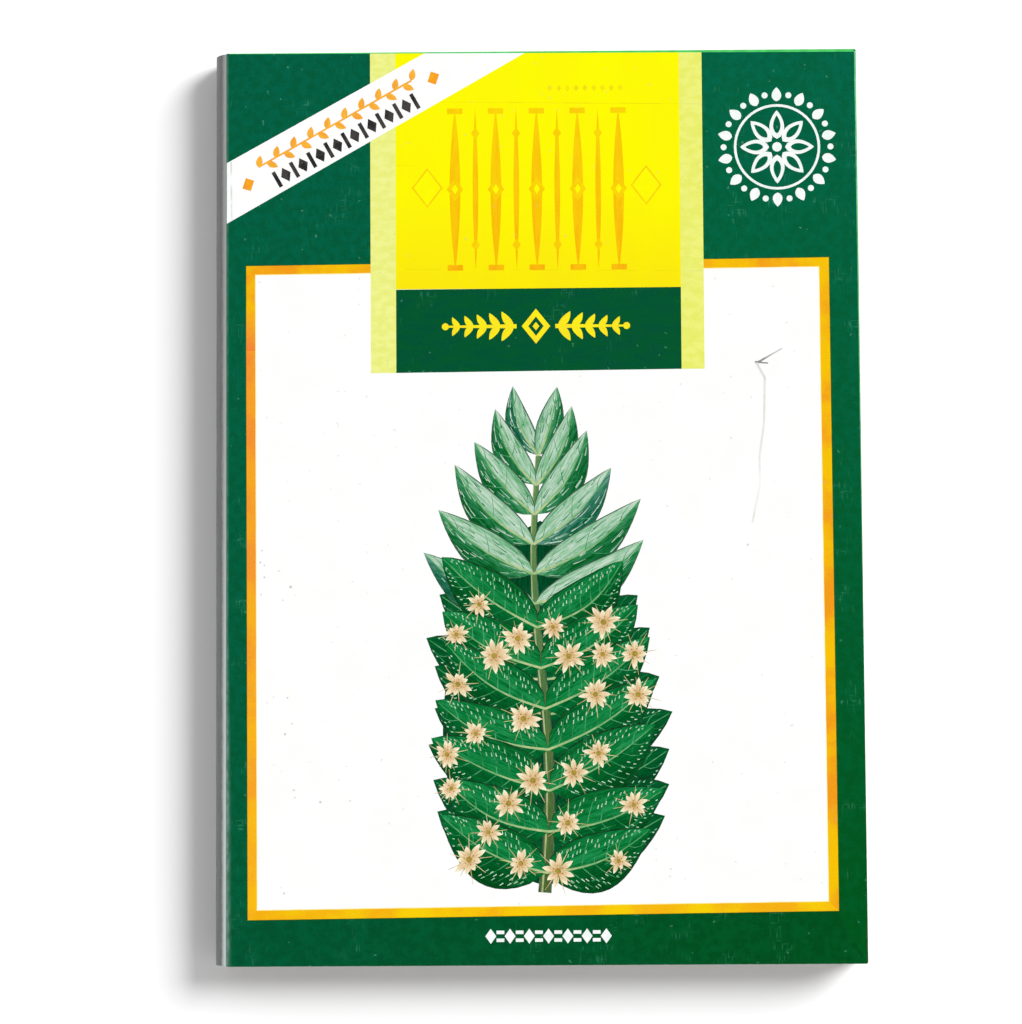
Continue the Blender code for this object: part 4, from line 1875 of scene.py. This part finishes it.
@dataclass(frozen=True)
class Studio:
    """A plain white table under soft light from above the head and fore edge."""

    lens: float = 90.0  # the camera's lens, in millimetres, on a long side of 36
    camera: Triple = (-0.0012, -0.0272, 0.4535)  # where the camera is
    camera_turn: Triple = (3.30, 0.465, -0.337)  # how it is turned from looking straight down, in degrees
    sun_height: float = 29.1  # the key light's height above the horizon, in degrees
    sun_side: float = 32.5  # where it stands, in degrees from +X towards +Y
    sun_power: float = 4.58  # its strength
    sun_spread: float = 31.0  # how wide it is, in degrees
    sky: float = 1.03  # the surrounding light's strength low down
    zenith: float = 0.02  # the surrounding light's strength overhead
    table_half: float = 3.0  # half the table's width
    table_whites: Pair = (0.90, 0.89)  # the table's two whites, in scene-linear light

    def build(self) -> None:
        """Builds the floor, the lights and the camera."""
        self._build_floor()
        self._build_sun()
        self._build_sky()
        self._build_camera()

    @staticmethod
    def _add(name: str, data: Any, turn: Sequence[float]) -> Object:
        """Adds a light or a camera.

        Args:
            name: Its name.
            data: The light or camera itself.
            turn: Its turn about each axis, in degrees.

        Returns:
            The object.
        """
        made = bpy.data.objects.new(name, data)
        bpy.context.scene.collection.objects.link(made)
        made.rotation_euler = Euler([math.radians(a) for a in turn])
        return made

    def _build_floor(self) -> None:
        """Builds the table top, a wide square."""
        turns = np.array([(-1, -1, 0), (1, -1, 0), (1, 1, 0), (-1, 1, 0)])
        made, g, shader = start_material("table_white")
        cloud = g.noise(g.node("ShaderNodeTexCoord").outputs["Object"], 3.0, 2.0)
        whites = ((white, white, white, 1.0) for white in self.table_whites)
        feeds = {"Base Color": g.paint(cloud, *whites), "Roughness": 0.8, "Specular IOR Level": 0.1}
        g.feed(shader, feeds)
        new_object("table", turns * self.table_half, [[0, 1, 2, 3]], made)

    def _build_sun(self) -> None:
        """Builds the key light."""
        light = bpy.data.lights.new("key", "SUN")
        light.energy = self.sun_power
        light.angle = math.radians(self.sun_spread)
        self._add("key", light, (0.0, 90 - self.sun_height, self.sun_side))

    def _build_sky(self) -> None:
        """Builds the surrounding light: white as seen, but dim overhead in the card's coating."""
        world = bpy.data.worlds.new("studio")
        bpy.context.scene.world = world
        world.use_nodes = True
        g = Graph(world.node_tree)
        up = g.axes(g.node("ShaderNodeTexCoord").outputs["Generated"])[2]
        light = g.step(up, 0.94, 0.55, self.zenith, self.sky)
        seen = g.node("ShaderNodeLightPath").outputs["Is Camera Ray"]
        strength = g.maths("MAXIMUM", light, seen)
        background = world.node_tree.nodes["Background"].inputs
        g.feed(background, {"Color": (1.0, 1.0, 1.0, 1.0), "Strength": strength})

    def _build_camera(self) -> None:
        """Builds the camera."""
        data = bpy.data.cameras.new("camera")
        data.lens = self.lens
        made = self._add("camera", data, self.camera_turn)
        made.location = self.camera
        bpy.context.scene.camera = made
        bpy.context.scene.view_settings.view_transform = "Standard"


def main() -> None:
    """Builds every piece round the frame, logs how many faces each has, and builds the studio."""
    logging.basicConfig(level=logging.INFO, format="%(name)s: %(message)s")
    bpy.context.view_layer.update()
    booklet = Booklet.from_frame()
    effects = Effects()
    pieces = [part(booklet).build(effects) for part in (FrontCover, BackCover, SpineStrip)]
    pieces += LeafBlock(booklet).build(effects)
    for piece in pieces:
        LOG.info("%s: %d faces", piece.name, len(piece.data.polygons))
    Studio().build()


if __name__ == "__main__":
    main()
